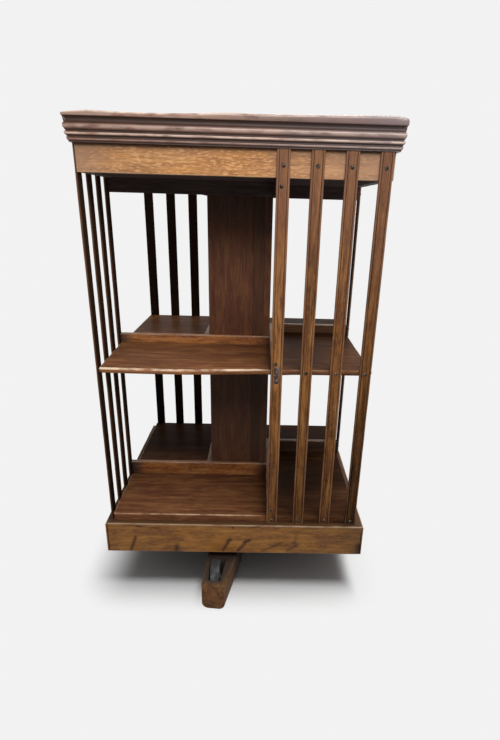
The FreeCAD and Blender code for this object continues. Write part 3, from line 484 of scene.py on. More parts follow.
def makeWood(name, wood, turn=None):
    # boards read the grain attribute; a CAD node that stays has none, so its object coordinates are turned
    material, tree = emptyMaterial(name)
    finish = dict(zip(woodColumns, wood))
    if turn is None:
        place = add(tree, "Attribute", out="Vector", attribute_name="grain")
    else:
        place = add(tree, "Mapping", {"Vector": add(tree, "TexCoord", out="Object"), "Rotation": turn})
    given = {key: add(tree, "Attribute", out="Fac", attribute_name=key)
             for key in ("wear", "tone", "dull", "mark")}
    for i, (layer, (size, detail, distortion)) in enumerate(oakLayers.items()):
        mapped = add(tree, "Mapping", {"Vector": place, "Scale": [1 / (s * mm) for s in size],
                                       "Location": (3.1 * i, 2.3 * i, 1.7 * i)})
        given[layer] = add(tree, "TexNoise", {"Vector": mapped, "Scale": 1.0, "Detail": detail,
                                              "Distortion": distortion})
        if layer == "sway":       # every later layer is shifted across, at most by sway
            sway = gains["sway"] * mm
            offset = add(tree, "Math", {0: given["sway"], 1: 2 * sway, 2: -sway}, operation="MULTIPLY_ADD")
            shift = add(tree, "CombineXYZ", {"Y": offset, "Z": offset})
            place = add(tree, "VectorMath", {0: place, 1: shift}, operation="ADD")
    ramps = {key: add(tree, "ValToRGB", {"Fac": given[key]},
                      stops=[(at, finish.get(value, value)) for at, value in stops])
             for key, stops in oakRamps.items()}
    wide = finish["spread"]
    colour = add(tree, "ValToRGB", {"Fac": given["figure"]},
                 stops=((0.5 - wide, finish["dark"]), (0.5, finish["middle"]), (0.5 + wide, finish["light"])))
    colour = add(tree, "Mix", {0: finish["streak"], 6: colour, 7: ramps["fibre"]}, out=2, data_type="RGBA",
                 blend_type="MULTIPLY")
    # mark mixes in the dark of dirt, bruises and painted shade, and dull a grey that on the top and cornice
    # is partly a painted sheen
    for amount, tint in ((ramps["stain"], finish["patch"]), (ramps["thin"], finish["glow"]),
                         (ramps["ray"], finish["light"]), (ramps["pore"], finish["dark"]),
                         (given["dull"], finish["grey"]), (given["mark"], look["grime"])):
        colour = add(tree, "Mix", {0: amount, 6: colour, 7: tint}, out=2, data_type="RGBA")
    bright = add(tree, "Math", {0: given["tone"], 1: gains["tone"], 2: 1.0}, operation="MULTIPLY_ADD")
    colour = add(tree, "VectorMath", {0: colour, "Scale": bright}, operation="SCALE")
    edge = add(tree, "Math", {0: ramps["wear"], 1: ramps["rub"]}, operation="MULTIPLY")
    colour = add(tree, "Mix", {0: edge, 6: colour, 7: finish["arris"]}, out=2, data_type="RGBA")
    least = finish["roughness"] - gains["satin"] / 2
    satin = add(tree, "Math", {0: given["stain"], 1: gains["satin"], 2: least}, operation="MULTIPLY_ADD")
    satin = add(tree, "Math", {0: given["mark"], 1: gains["markRough"], 2: satin}, operation="MULTIPLY_ADD")
    relief = add(tree, "Math", {0: given["fibre"], 1: gains["fibreRelief"]}, operation="MULTIPLY")
    relief = add(tree, "Math", {0: relief, 1: ramps["pore"]}, operation="SUBTRACT")
    bump = add(tree, "Bump", {"Height": relief, "Strength": gains["bump"], "Distance": gains["depth"] * mm})
    add(tree, "OutputMaterial", {"Surface": add(tree, "BsdfPrincipled", {
        "Base Color": colour, "Roughness": satin, "IOR": 1.5, "Specular IOR Level": finish["gloss"],
        "Coat Weight": finish["wax"], "Coat Roughness": gains["coatRough"], "Normal": bump})})
    return material


# Bare metals.  Tarnish is the colour of the oxide film, whose patches of size mm dull the surface.
metals = {
    "dulledSteelScrew": dict(colour="#5c524a", tarnish="#1f1a17", metallic=0.8, roughness=0.45, size=2.5),
    "rustedSteelStrap": dict(colour="#6a5f5a", tarnish="#3a2c29", metallic=0.6, roughness=0.5, size=6.0),
    "wornGreyIron": dict(colour="#353638", tarnish="#262626", metallic=0.3, roughness=0.55, size=14.0),
    "turnedSteelPin": dict(colour="#8d8a86", tarnish="#55504c", metallic=0.9, roughness=0.35, size=8.0),
    "blackedCastIron": dict(colour="#3a3735", tarnish="#241f1c", metallic=0.6, roughness=0.6, size=8.0),
}
oxide = {"film": ((0.42, 1.0), (0.6, 0.0)), "dull": 0.25, "bump": 0.3, "pit": 0.9, "depth": 0.15}   # mm


def makeMetal(name, finish):
    material, tree = emptyMaterial(name)
    place = add(tree, "TexCoord", out="Object")
    patch, pit = (add(tree, "TexNoise", {"Vector": place, "Scale": 1 / (size * mm), "Detail": detail})
                  for size, detail in ((finish["size"], 4.0), (oxide["pit"], 1.0)))
    film = add(tree, "ValToRGB", {"Fac": patch}, stops=oxide["film"])
    colour = add(tree, "Mix", {0: film, 6: finish["colour"], 7: finish["tarnish"]}, out=2, data_type="RGBA")
    dulled = add(tree, "Math", {0: film, 1: oxide["dull"], 2: finish["roughness"]}, operation="MULTIPLY_ADD")
    bump = add(tree, "Bump", {"Height": pit, "Strength": oxide["bump"], "Distance": oxide["depth"] * mm})
    add(tree, "OutputMaterial", {"Surface": add(tree, "BsdfPrincipled", {
        "Base Color": colour, "Metallic": finish["metallic"], "Roughness": dulled, "Normal": bump})})
    return material


materials = {name: makeWood(name, finish) for name, finish in woods.items()}
materials.update({name: makeMetal(name, finish) for name, finish in metals.items()})
print("materials made:", len(materials))

# Slats: flat bars, a little greyer at the top and along their edges, and darker towards the foot, which is
# painted shade, deepest in the corner slats.
slats = {"edge": 1.2, "softEdge": 0.35, "endRound": 0.4, "worn": 0.25,      # mm
         "quirkInset": 3.6, "quirkWidth": 1.2, "quirkDepth": 0.9,           # mm
         # painted shade on the back and the sides of each slat; dirt and painted shade in its grooves
         "edgeDull": 0.15, "insidePaintedShade": 0.9, "besidePaintedShade": 0.5, "quirkDirtAndShade": 0.9, "spread": 0.25,
         # the tone over the height is painted shade, deepest at the foot of the corner slats
         "tone": ((0.08, -1.8), (0.2, -1.0), (0.45, -0.1), (0.80, 0.15)),   # over the height in m
         "cornerTone": ((0.08, -2.3), (0.25, -1.7), (0.5, -0.7), (0.62, 0.0), (0.80, 0.15)),
         "dull": ((0.5, 0.0), (0.66, 0.3), (0.80, 0.6))}


def slatSection(width, thick):
    # flat bar with rounded front arrises and a fine V groove beside each of them, front towards -Y; the
    # back and the sides are darkened with painted shade, and the grooves with dirt and painted shade
    half, deep = width / 2, thick / 2
    dip, wide, depth = slats["quirkInset"] * mm, slats["quirkWidth"] * mm / 2, slats["quirkDepth"] * mm
    corners = [(-half, deep), (-half, -deep), (-half + dip - wide, -deep), (-half + dip, -deep + depth),
               (-half + dip + wide, -deep)]
    corners += [(-x, y) for x, y in reversed(corners)]
    radii, rubs = [slats["softEdge"] * mm, slats["edge"] * mm, 0, 0, 0], [0.3, 1, 0, 0, 0]
    outline, wear = roundedOutline(corners, radii + radii[::-1], rubs + rubs[::-1])
    aside = np.abs(outline[:, 0])
    marks = (slats["insidePaintedShade"] * (outline[:, 1] > deep - 0.4 * mm),
             slats["besidePaintedShade"] * (aside > half - 0.2 * mm),
             slats["quirkDirtAndShade"] * (np.abs(aside - half + dip) < 0.01 * mm))
    return outline, wear, slats["edgeDull"] * (aside > half - dip), np.max(marks, 0)


def makeSlats():
    for quarter, side in enumerate(sides):
        for i in (1, 2, 3, 4):
            node = f"slat_{side}_{i}"
            low, high = frontBox(node, quarter)
            fades = {"tone": slats["cornerTone" if i == 4 else "tone"], "dull": slats["dull"]}
            plank(Parts(), low, high, 2, quarter, quarter * 10 + i, slats["endRound"], slats["worn"],
                  slats["spread"], slatSection(*(high - low)[:2]), fades).make(
                node, "oiledOakSlat", "slat_wood")


makeSlats()
print("slats made")

# Shelves with a rounded front edge.  Their boards are brightest at the front left and darken
# to the right and the back, which is painted shade.  Places are in m.
shelves = {
    "corner": 5.0, "worn": 0.3, "step": 16.0, "clearance": 3.0,   # mm, the last round the post
    # painted shade: the tone falls over x to the right and over y to the back
    "across": ((-0.1, 0.04, 0.1), (0.4, -0.2, -1.5)), "back": ((-0.14, 0.08), (0.1, -1.3)),   # tone over x, y
    "darkest": -2.5, "bare": (0.02, 0.06), "rightRub": 0.4,   # least tone; where in x the edge's wear ends
    # painted shade: the bottom shelf is darker by its offset and falls faster to the back by its slope
    "middle": {"top": 4.4, "under": 4.4, "rub": 1.0, "slope": 1.0, "offset": 0.0, "seed": 41},
    "bottom": {"top": 2.2, "under": 0.5, "rub": 0.62, "slope": 1.6, "offset": -0.75, "seed": 42},
    # warp of the middle shelf over x in mm, at the book rail and in front, and where in y it ends
    "rise": ((-0.24, 2.5), (0.05, 2.0), (0.08, 0.0)),
    "sag": ((-0.23, -6.0), (-0.15, -6.5), (-0.08, -6.2), (-0.03, -4.7), (0.03, -2.6), (0.06, -2.2),
            (0.1, 0.0), (0.23, 1.2)),
    "bends": (-0.23, -0.07, -0.03)}


def makeShelf(tier, hole):
    # the shelf's section from its hole outwards, rounded along its front edges, carried round a square
    node, own = f"{tier}_shelf", shelves[tier]
    low, high = frontBox(node)
    outline, wear = boardOutline(hole, high[0], low, high, (0, own["under"], own["top"], 0), (0, 0.1, 1, 0),
                                 shelves["step"])
    loops, shares = squareLoops(outline, wear, shelves["corner"], own["seed"], shelves["worn"])
    if tier == "middle":
        front, rail, back = shelves["bends"]
        loops[..., 2] += bent(loops, shelves["sag"], front, rail) + bent(loops, shelves["rise"], rail, back)
    x, y = loops[..., 0], loops[..., 1]
    wear = shares * own["rub"] * np.interp(x, shelves["bare"], (1.0, shelves["rightRub"]))
    # painted shade: darker to the right and to the back
    tone = np.interp(x, *shelves["across"]) + own["slope"] * np.interp(y, *shelves["back"]) + own["offset"]
    tone = np.maximum(tone, shelves["darkest"])
    Parts().add(loops, 0, own["seed"], closeRows=True, wear=wear, tone=tone).make(
        node, "polishedRedOakShelf", "shelf_wood")


# The hollow column of four boards.  Tone and dull go by height in m; the tone's dips under the middle
# shelf and under the top are painted shadow.
column = {"stave": 21.0, "joint": 0.9, "jointDepth": 0.7, "arris": 0.8, "endRound": 0.4, "worn": 0.15,   # mm
          "staveDull": 0.45, "spread": 0.2, "seed": 60,
          "fades": {"tone": ((0.16, -0.7), (0.3, -0.6), (0.38, -1.1), (0.43, -1.9), (0.44, 0.0), (0.6, 0.2),
                             (0.65, -0.9), (0.7, -1.9)),
                    "dull": ((0.16, 0.4), (0.43, 0.4), (0.44, 0.0), (0.7, 0.0))}}


def makeColumn():
    # each board with a narrow groove at the glued joint of its edge stave
    for quarter, side in enumerate(sides):
        node = f"column_board_{side}"
        low, high = frontBox(node, quarter)
        half = (high - low)[:2] / 2
        seam, wide = half[0] - column["stave"] * mm, column["joint"] * mm / 2
        corners = [(-half[0], half[1]), (-half[0], -half[1]), (seam - wide, -half[1]),
                   (seam, -half[1] + column["jointDepth"] * mm), (seam + wide, -half[1]),
                   (half[0], -half[1]), (half[0], half[1])]
        arris = column["arris"] * mm
        outline, wear = roundedOutline(corners, [arris, arris, 0, 0, 0, arris, arris], [1, 1, 0, 0, 0, 1, 1])
        section = outline, wear, column["staveDull"] * (outline[:, 0] > seam), 0.0
        plank(Parts(), low, high, 2, quarter, column["seed"] + quarter, column["endRound"], column["worn"],
              column["spread"], section, column["fades"]).make(node, "darkRedOakColumn", "column_wood")


# painted shade: the foot and inside marks, the darker lower tier and the darker right and back rails
rails = {"round": 1.4, "worn": 0.4, "foot": 2.0, "bearerRound": 1.0,         # mm
         "footPaintedShade": 0.95, "insidePaintedShade": 0.6, "endRub": 0.3, "seed": 80, "bearerSeed": 112,
         "lower": -1.1, "upper": -0.1, "sides": (0.0, -1.3, -0.8, 0.0),      # tone of each tier and side
         "tone": ((-0.23, -1.0), (-0.2, 0.5), (0.04, 0.5), (0.05, -0.8)),    # along the rail, in m
         "dull": ((-0.23, 0.9), (-0.205, 0.0), (0.042, 0.0), (0.05, 0.6))}


def makeRails():
    # book rails run back from the case's edge beside the column, dark and greyed at their ends, and dark at
    # the foot and on the side towards the column, which is painted shade, as are the darker lower tier and
    # the darker right and back rails
    for quarter, side in enumerate(sides):
        for k, tier in enumerate(("lower", "upper")):
            node = f"book_rail_{tier}_{side}"
            low, high = frontBox(node, quarter)
            half = (high - low)[[0, 2]] / 2
            outline, wear = roundedOutline(rectangle(half), [rails["round"] * mm] * 4, [0, 0, 1, 1])
            outline, wear = filled(outline, wear)
            foot = rails["footPaintedShade"] * np.exp((-half[1] - outline[:, 1]) / (rails["foot"] * mm))
            mark = np.maximum(foot, rails["insidePaintedShade"] * (outline[:, 0] < -half[0] + 0.1 * mm))
            shade = rails[tier] + rails["sides"][quarter]
            fades = {"tone": [(y, tone + shade) for y, tone in rails["tone"]], "dull": rails["dull"]}
            seed = rails["seed"] + quarter * 2 + k
            plank(Parts(), low, high, 1, quarter, seed, rails["round"], rails["worn"],
                  section=(outline, wear, 0.0, mark), fades=fades, endRub=rails["endRub"]).make(
                node, "varnishedOakRail", "case_wood")
    # painted shade: the shelf bearers and ceiling rails are made nearly black
    for node, name in (("under_shelf_rails", "shelfBearers"), ("ceiling_rails", "ceilingRails")):
        parts = Parts()
        for i, (low, high) in enumerate(looseBoxes(node)):
            plank(parts, low, high, int(np.argmax(high - low)), 0, rails["bearerSeed"] + i,
                  rails["bearerRound"])
        parts.make(node, "paintedShadeBlackOak", "case_wood", name=name)


makeShelf("middle", -frontBox("column_board_front")[0][0])
makeShelf("bottom", frontBox("centre_post")[1][0] + shelves["clearance"] * mm)
makeColumn()
makeRails()
print("shelves, column and rails made")

# Base, frieze and cornice, mitred at the corners of the case.
mouldings = {      # rounds, worn and fade in mm, and tone or dull over x in m
    "base_rail": {"rounds": (0, 1.6, 2.0, 0.4), "rubs": (0, 0.8, 1, 0), "worn": 0.42, "spread": 0.15,
                  "seed": 120, "covers": "ledge", "cover": 0.75, "mark": 0.6, "fade": 4.0,
                  "finish": "goldenOakBase", "slot": "case_wood",
                  "fades": {"tone": ((-0.24, -0.1), (0.0, 0.1), (0.16, -0.3), (0.24, -1.1))}},
    # the frieze's dark back and underside and the dark fading down from its top are painted shade inside the
    # case and under the cornice, with some dirt
    "frieze_rail": {"rounds": (0.4, 0.6, 0, 0), "rubs": (0.3, 1, 0, 0), "worn": 0.3, "spread": 0.15,
                    "seed": 130, "covers": "back", "cover": 0.95, "mark": 1.0, "fade": 5.0,
                    "finish": "quarteredOakFrieze", "slot": "frieze_wood",
                    "fades": {"dull": ((-0.23, 0.75), (-0.16, 0.15), (0.02, 0.0), (0.1, 0.35),
                                       (0.23, 0.75))}},
    # the cornice's crest, hollow and foot marks are old wax and painted shade, and its dull that grows
    # towards the right is a painted sheen
    "cornice": {"worn": 0.3, "spread": 0.4, "seed": 140, "crest": 0.8, "hollow": 0.78, "foot": 0.3,
                "finish": "waxedDarkOakTop", "slot": "top_wood",
                "fades": {"dull": ((-0.27, 0.0), (0.0, 0.15), (0.27, 0.7))}},
}
baseStrokes = (      # bruises and stains on the front of the base: x, z, x, z, width and strength
    (-189, 111, -200, 81, 2.6, 0.95), (-111, 92, -112, 82, 5.0, 0.8), (-9, 108, -14, 103, 3.8, 1.0),
    (-12, 104, -23, 84, 3.1, 0.95), (27, 107, 18, 102, 3.5, 1.0), (20, 102, 6, 83, 2.9, 0.95),
    (88, 101, 70, 92, 2.5, 0.6), (70, 92, 52, 83, 3.0, 0.6), (119, 128, 114, 100, 4.0, 0.35),
    (118, 97, 100, 84, 3.0, 0.6), (-187, 135, -142, 131, 1.2, 0.9), (-4, 138, -4, 134, 2.5, 0.9),
    (30, 137, 46, 139, 2.0, 0.9), (243, 78, 239, 98, 9.0, 0.9), (236, 79, 243, 80, 8.0, 0.8))

# Members of the cornice from the bottom up: rise, reach beyond the slats, bulge (hollow if negative)
# and rub, which pales the crest, partly as a painted highlight.
corniceMembers = (
    (1.9, 1.6, -0.3, 0.0), (0.3, 2.4, 0.0, 0.0), (3.2, 3.0, 0.8, 0.5), (0.4, 2.4, 0.0, 0.0),
    (2.6, 3.4, -0.7, 0.0), (0.4, 4.4, 0.0, 0.0), (4.2, 4.8, 1.2, 0.85), (0.4, 4.0, 0.0, 0.0),
    (1.7, 4.0, -0.4, 0.0), (0.4, 4.6, 0.0, 0.0), (9.0, 4.8, 2.0, 0.6), (0.5, 4.0, 0.0, 0.0),
    (6.6, 5.0, -1.8, 0.0), (0.4, 6.2, 0.0, 0.0))


def corniceOutline(own, low, high):
    # arcs between the members' ends: each point leaves the chord by bulge times 4 t (1 - t); the crests are
    # rubbed pale, partly as a painted highlight, and the hollows and steps darkened with old wax and painted
    # shade
    face = -frontBox("slat_front_1")[0][1]
    start = np.array([face + corniceMembers[0][1] * mm, low[2]])
    points = [np.array([[-high[1], low[2]]]), start[None]]
    wears, marks = ([[0.0], [own["foot"]]] for _ in range(2))
    for rise, reach, bulge, rub in corniceMembers:
        end = np.array([face + reach * mm, start[1] + rise * mm])
        t = np.linspace(0, 1, 9 if bulge else 2)[1:, None]
        chord = end - start
        normal = np.array([chord[1], -chord[0]]) / np.linalg.norm(chord)
        swell = 4 * t * (1 - t)
        points.append(start + chord * t + normal * bulge * mm * swell)
        wears.append(rub * swell[:, 0])
        marks.append((own["crest"] * (1 - swell) ** 2 if rub else own["hollow"] + 0 * swell)[:, 0])
        start = end
    points.append(np.array([[-high[1], start[1]]]))
    return np.concatenate(points), np.concatenate(wears + [[0.0]]), np.concatenate(marks + [[0.0]])


def railOutline(own, low, high):
    # a dark mark covers the ledge of the base and the underside and back of the frieze, and on both it fades
    # down from the top as exp(-depth / fade): dirt on the base, and on the frieze painted shade inside the
    # case and under the cornice, with some dirt
    outline, wear = boardOutline(-high[1], -low[1], low, high, own["rounds"], own["rubs"])
    depth = outline[:, 1] - high[2]
    covered = depth > -0.1 * mm
    if own["covers"] == "back":
        covered = (outline[:, 1] < low[2] + 0.1 * mm) | (outline[:, 0] < -high[1] + 0.5 * mm)
    return outline, wear, np.maximum(own["cover"] * covered, own["mark"] * np.exp(depth / (own["fade"] * mm)))


def makeMouldings():
    for quarter, side in enumerate(sides):
        for kind, own in mouldings.items():
            node = f"{kind}_{side}"
            outlineOf = corniceOutline if kind == "cornice" else railOutline
            mitred(own, node, quarter, *outlineOf(own, *frontBox(node, quarter)),
                   baseStrokes if node == "base_rail_front" else ())


top = {"under": 1.8, "nose": 2.6, "step": 0.4, "fieldRound": 0.9, "corner": 5.0, "worn": 0.35,   # mm
       "edge": 7.0, "fieldInset": 9.0, "face": 0.8, "middle": 50.0,   # mm
       "faceRub": 0.55, "rightRub": 0.5, "rightDull": 0.8, "seed": 150,
       "bare": (-0.1, 0.2), "greyed": (0.0, 0.26),     # where both change, in m across the front
       "warp": ((-0.244, -2.8), (-0.21, 0.2), (-0.16, -1.2), (-0.1, -1.0), (-0.05, 0.0), (-0.02, 1.8),
                (0.03, 1.7), (0.1, 2.5), (0.16, 3.6), (0.2, 4.2), (0.225, 5.0), (0.244, 1.8)),
       "bends": (-0.23, -0.05)}      # where in y the warp ends


def makeTop():
    # square board with a rounded edge and a low raised field, closed by rings that run in to the middle
    low, high = frontBox("top_board")
    step, inner = low[2] + top["edge"] * mm, top["middle"] * mm
    field = high[0] - top["fieldInset"] * mm
    radii = [top[key] * mm for key in ("under", "nose", "step", "fieldRound")]
    outline, wear = roundedOutline(
        [(inner, low[2]), (high[0], low[2]), (high[0], step), (field, step), (field, high[2]),
         (inner, high[2])], [0, *radii, 0], [0, 0.2, 1, 0, 0.8, 0])
    start = int(np.argmin(np.abs(outline - (inner, low[2])).sum(1)))
    outline, wear = np.roll(outline, -start, 0), np.roll(wear, -start)
    stop = int(np.argmin(np.abs(outline - (inner, high[2])).sum(1))) + 1
    wear = np.maximum(wear, top["faceRub"] * (outline[:, 0] > high[0] - top["face"] * mm))
    loops, shares = squareLoops(outline[:stop], wear[:stop], top["corner"], top["seed"], top["worn"])
    lift = np.clip((loops[..., 2] - low[2]) / (step - low[2]), 0, 1)
    loops[..., 2] += lift * bent(loops, top["warp"], *top["bends"])
    # the nose's pale rub, partly a painted highlight, fades towards the right, where the dull adds a painted
    # sheen
    wear = shares * np.interp(loops[..., 0], top["bare"], (1.0, top["rightRub"]))
    dull = np.interp(loops[..., 0], top["greyed"], (0.0, top["rightDull"]))
    Parts().add(loops, 0, top["seed"], wear=wear, dull=dull).make("top_board", "waxedDarkOakTop", "top_wood")


makeMouldings()
makeTop()
print("base, frieze, cornice and top made")

# Stand: arris in mm, turn of the cross against the case in degrees; the long faces are greyed, the sawn ends
# are not.  Faces within flat degrees are made one, and edges over sharp degrees are rounded.
stand = {"arris": 3.0, "facets": 3, "turn": -6.7, "flat": 0.5, "sharp": 40.0,
         "dull": 0.92, "endTone": 0.3, "faceTone": -1.0, "spread": 0.2}


def softened(name, node, along, seed):
    # a merged copy of the node with its flat faces made whole and its arrises rounded over
    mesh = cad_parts[node].data.copy()
    made = merged(mesh, 1e-6)
    flat = math.radians(stand["flat"])
    bmesh.ops.dissolve_limit(made, angle_limit=flat, verts=made.verts, edges=made.edges)
    made.to_mesh(mesh)
    made.free()
    blank = linked(name + "Blank", mesh)
    bevel = blank.modifiers.new("arris", "BEVEL")
    bevel.width, bevel.segments, bevel.limit_method = stand["arris"] * mm, stand["facets"], "ANGLE"
    bevel.angle_limit = math.radians(stand["sharp"])
    bpy.context.view_layer.update()
    rounded = bpy.data.meshes.new_from_object(blank.evaluated_get(bpy.context.evaluated_depsgraph_get()))
    bpy.data.objects.remove(blank)
    rounded.name = name
    rounded.materials.clear()
    points = np.empty(len(rounded.vertices) * 3, np.float32)
    rounded.vertices.foreach_get("co", points)
    turned = np.array(Matrix.Rotation(math.radians(-stand["turn"]), 3, "Z"))
    points = points.reshape(-1, 3).astype(float) @ turned.T
    onEnd = np.abs(points[:, along]) > np.abs(points[:, along]).max() - 0.3 * mm
    tone = toneOf(seed, stand["spread"]) + np.where(onEnd, stand["endTone"], stand["faceTone"])
    values = {"grain": grainOf(points, along, seed).ravel(), "dull": stand["dull"] * ~onEnd, "tone": tone}
    finishPiece(name, rounded, values, [node], "wornOakFoot", "stand")


softened("crossBeamLower", "cross_beam_lower", 1, 160)
softened("crossBeamUpper", "cross_beam_upper", 0, 161)

wheel = {"rim": 9.0, "rimHalf": 9.0, "web": 4.5, "hub": 10.0, "bore": 4.08, "crown": 0.35,   # mm
         "rounds": (0.5, 1.2, 2.5, 2.0, 1.0, 3.0), "steps": 48}     # from bore to tread in mm, facets around


def wheelProfile(radius, half, hubHalf):
    # half section of the wheel as (radius, along its pin): bore, hub, disc, rim and a tread that sinks from
    # its middle by crown times the square of the distance
    bore, hub, web, rim = (wheel[key] * mm for key in ("bore", "hub", "web", "rim"))
    corners = [(bore, -hubHalf), (hub, -hubHalf), (hub, -web), (radius - rim, -web), (radius - rim, -half),
               (radius, -half)]
    corners += [(r, -a) for r, a in reversed(corners)]
    rounds = [r * mm for r in wheel["rounds"]]
    profile, _ = roundedOutline(corners, rounds + rounds[::-1])
    sink = wheel["crown"] * mm * (profile[:, 1] / half) ** 2
    profile[:, 0] -= np.where(profile[:, 0] > radius - 0.5 * mm, sink, 0)
    return profile


def makeWheels():
    for side in sides:
        node = f"castor_wheel_{side}"
        low, high = (np.array(c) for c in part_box(node))
        axis = 0 if side in ("front", "back") else 1
        size = high - low
        profile = wheelProfile(size[2] / 2, wheel["rimHalf"] * mm, size[axis] / 2)
        loops = lathe(profile, wheel["steps"])[..., [2, 0, 1] if axis == 0 else [0, 2, 1]]
        Parts().add(loops + (low + high) / 2, closeRows=True).make(
            node, "wornGreyIron", "wheel_iron", f"wheel_{side}", f"wheel{side.capitalize()}")


makeWheels()
print("stand and wheels made")

# Round-headed screws and the mending strap.
screws = {"height": 1.7, "slot": 0.6, "slotDepth": 0.45, "least": 0.1, "root": 0.4,     # mm
          "drop": 0.82, "chords": 11, "across": 8, "seed": 11}   # fall to the rim, lines, points on each


def screwHead(radius):
    # dome over a disc drawn as parallel chords: height falls with the square of the radius, and the chords
    # on both sides of the slot are doubled so that its walls stand upright; each chord returns underneath
    wide = screws["slot"] * mm / 2
    right = np.linspace(wide, radius * 0.9995, (screws["chords"] - 1) // 2)
    x = np.concatenate([-right[::-1], [-wide, wide], right])
    sunk = np.concatenate([0 * right, [1, 1], 0 * right]) * screws["slotDepth"] * mm
    t = np.linspace(-1, 1, screws["across"])
    y = t[None] * np.sqrt(radius ** 2 - x ** 2)[:, None]
    fall = screws["drop"] * (x[:, None] ** 2 + y ** 2) / radius ** 2
    dome = screws["height"] * mm * (1 - fall) - sunk[:, None]
    upper = np.stack([x[:, None] + 0 * y, y, np.maximum(dome, screws["least"] * mm)], -1)
    under = upper[:, ::-1].copy()
    under[..., 2] = -screws["root"] * mm
    return np.concatenate([upper, under], 1)


def makeScrews():
    # each head sits on the slats' face or on the strap, with its slot turned at random
    parts = Parts()
    strap = frontBox("mending_strap")
    face = -frontBox("slat_front_1")[0][1]
    rng = np.random.default_rng(screws["seed"])
    for low, high in looseBoxes("slat_screws"):
        middle = (low + high) / 2
        quarter = int(np.argmax([-middle[1], middle[0], middle[1], -middle[0]]))
        middle = quarterTurn(middle, (4 - quarter) % 4)
        onStrap = quarter == 0 and all(strap[0][k] < middle[k] < strap[1][k] for k in (0, 2))
        seat = face + (strap[1][1] - strap[0][1] if onStrap else 0.0)
        loops = screwHead((high[2] - low[2]) / 2)
        turn = rng.uniform(0, np.pi)
        x, y, out = loops[..., 0], loops[..., 1], loops[..., 2]
        parts.add(np.stack([middle[0] + x * np.cos(turn) - y * np.sin(turn), -(seat + out),
                            middle[2] + x * np.sin(turn) + y * np.cos(turn)], -1), quarter=quarter)
    parts.make("slat_screws", "dulledSteelScrew", "screw_brass")


plate = {"round": 2.4, "insets": (0.0, 0.0, 0.12, 0.3), "depths": (0.3, 0.12, 0.0)}      # mm


def makeStrap():
    # a rounded plate whose outline shrinks by the insets as it rises to its face
    low, high = frontBox("mending_strap")
    half = (high - low)[[0, 2]] / 2
    outline, _ = roundedOutline(rectangle(half), [plate["round"] * mm] * 4)
    shrink = 1 - np.array(plate["insets"])[:, None] * mm / half
    loops = np.empty((len(shrink), len(outline), 3))
    loops[..., [0, 2]] = outline[None] * shrink[:, None] + (low + high)[[0, 2]] / 2
    loops[..., 1] = np.array([high[1], *(low[1] + depth * mm for depth in plate["depths"])])[:, None]
    Parts().add(loops).make("mending_strap", "rustedSteelStrap", "turned_steel")


makeScrews()
makeStrap()
print("screws and strap made")

# Nodes that keep their CAD mesh: hidden boards, made nearly black as painted shade, and the turned
# and cast fittings.
turnedOak = makeWood("turnedOakPost", woods["wornOakFoot"], turn=(0, math.pi / 2, 0))      # grain along Z
paintedShadeOak = makeWood("paintedShadeBlackBoard", woods["paintedShadeBlackOak"], turn=(0, 0, 0))       # grain along X
keptNodes = {"centre_post": turnedOak, "guide_board": paintedShadeOak, "ceiling_board": paintedShadeOak,
             "pivot_pin": materials["turnedSteelPin"], "wheel_pins": materials["turnedSteelPin"],
             "guide_bush": materials["blackedCastIron"], "bearing_plate": materials["blackedCastIron"]}
for node, material in keptNodes.items():
    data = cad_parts[node].data
    data.materials.clear()
    data.materials.append(material)
print("kept nodes finished:", len(keptNodes))

# Floor, light and camera.
studio = {"background": "#f2f2f2", "floorColour": "#ececec", "world": 0.2, "core": (0.2, 0.215, 0.2),
          "plain": (0.0, 0.12), "floorRadius": 9.0, "floorSteps": 96}
lamps = {      # place, what it is turned to, size in m, power in W and whether it is flagged off the floor
    "topLight": ((1.0, 0.35, 5.0), (0.0, 0.0, 0.0), (4.4, 1.1), 245.0, False),
    "frontLight": ((0.35, -1.55, 1.65), (0.0, 0.0, 0.5), (1.5, 0.6), 34.0, True),
}


def makeFloor():
    # a pale disc that takes the shadows near the object and turns into the background further out: its share
    # grows between two distances from a box of half sizes core, for the rays that show the background
    steps = studio["floorSteps"]
    points = lathe(np.array([[studio["floorRadius"], 0.0]]), steps)[0].tolist()
    mesh = bpy.data.meshes.new("floor")
    mesh.from_pydata(points, [], [list(range(steps))])
    material, tree = emptyMaterial("paleStudioFloor")
    place = add(tree, "VectorMath", {0: add(tree, "TexCoord", out="Object")}, operation="ABSOLUTE")
    place = add(tree, "VectorMath", {0: place, 1: studio["core"]}, operation="SUBTRACT")
    place = add(tree, "VectorMath", {0: place, 1: [0, 0, 0]}, operation="MAXIMUM")
    far = add(tree, "VectorMath", {0: place}, out="Value", operation="LENGTH")
    near, plain = studio["plain"]
    fade = add(tree, "MapRange", {"Value": far, "From Min": near, "From Max": plain},
               interpolation_type="SMOOTHSTEP")
    fade = add(tree, "Math", {0: fade, 1: seenRay(tree)}, operation="MULTIPLY")
    diffuse = add(tree, "BsdfDiffuse", {"Color": studio["floorColour"]})
    shown = add(tree, "Emission", {"Color": studio["background"]})
    add(tree, "OutputMaterial", {"Surface": add(tree, "MixShader", {0: fade, 1: diffuse, 2: shown})})
    mesh.materials.append(material)
    floor = linked("floor", mesh)
    return floor


def seenRay(tree):
    # 1 for the rays that show the background, straight or in a reflection, and 0 for those that light
    camera, glossy = (add(tree, "LightPath", out=name) for name in ("Is Camera Ray", "Is Glossy Ray"))
    return add(tree, "Math", {0: camera, 1: glossy}, operation="MAXIMUM")


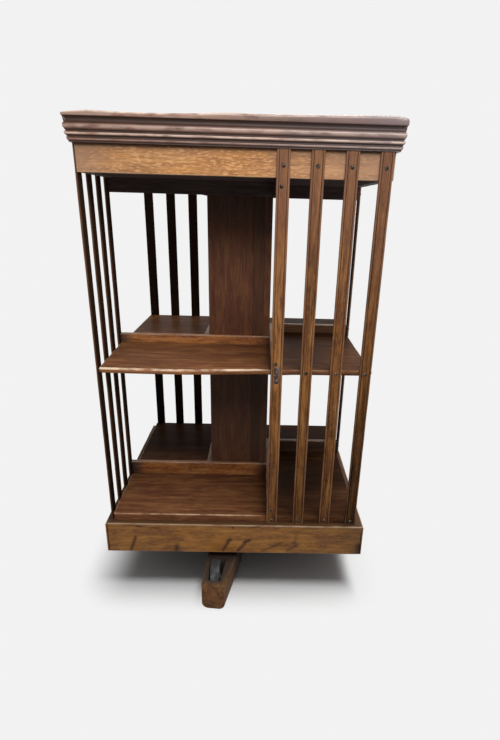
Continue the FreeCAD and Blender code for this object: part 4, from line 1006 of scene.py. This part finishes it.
def makeWorld():
    world = bpy.data.worlds.new("softStudio")
    world.use_nodes = True
    tree = world.node_tree
    tree.nodes.clear()
    light = add(tree, "Background", {"Color": "#ffffff", "Strength": studio["world"]})
    shown = add(tree, "Background", {"Color": studio["background"], "Strength": 1.0})
    add(tree, "OutputWorld", {"Surface": add(tree, "MixShader", {0: seenRay(tree), 1: light, 2: shown})})
    bpy.context.scene.world = world


def makeLamps(floor):
    flag = bpy.data.collections.new("flagged")
    flag.objects.link(floor)
    flag.collection_objects[0].light_linking.link_state = "EXCLUDE"
    for name, (place, target, size, power, flagged) in lamps.items():
        lamp = bpy.data.lights.new(name, "AREA")
        lamp.shape, lamp.size, lamp.size_y, lamp.energy = "RECTANGLE", size[0], size[1], power
        holder = linked(name, lamp)
        holder.location = place
        holder.rotation_euler = (Vector(target) - Vector(place)).to_track_quat("-Z", "Y").to_euler()
        holder.light_linking.receiver_collection = flag if flagged else None


# Camera: place in metres, angles in radians, picture sizes in pixels.
view = {"place": (0.0370, -1.0963, 0.6928), "yaw": 0.02223, "pitch": 0.41337, "roll": 0.02844,
        "focal": 528.77, "centre": (266.96, 439.57), "picture": (500, 740), "sensor": 36.0}


def makeCamera():
    # a camera looks down until it is turned up about X by a right angle less the pitch
    turn = Matrix.Rotation(-view["yaw"], 3, "Z") @ Matrix.Rotation(math.pi / 2 - view["pitch"], 3, "X")
    turn = turn @ Matrix.Rotation(view["roll"], 3, "Z")
    data = bpy.data.cameras.new("camera")
    width, height = view["picture"]
    data.sensor_fit, data.sensor_height = "VERTICAL", view["sensor"]
    data.lens = view["focal"] * view["sensor"] / height
    data.shift_x = (width / 2 - view["centre"][0]) / height
    data.shift_y = (view["centre"][1] - height / 2) / height
    holder = linked("camera", data)
    holder.matrix_world = Matrix.Translation(view["place"]) @ turn.to_4x4()
    bpy.context.scene.camera = holder


makeWorld()
makeLamps(makeFloor())
makeCamera()
bpy.context.scene.view_settings.view_transform = "Standard"
print("floor, light and camera made")
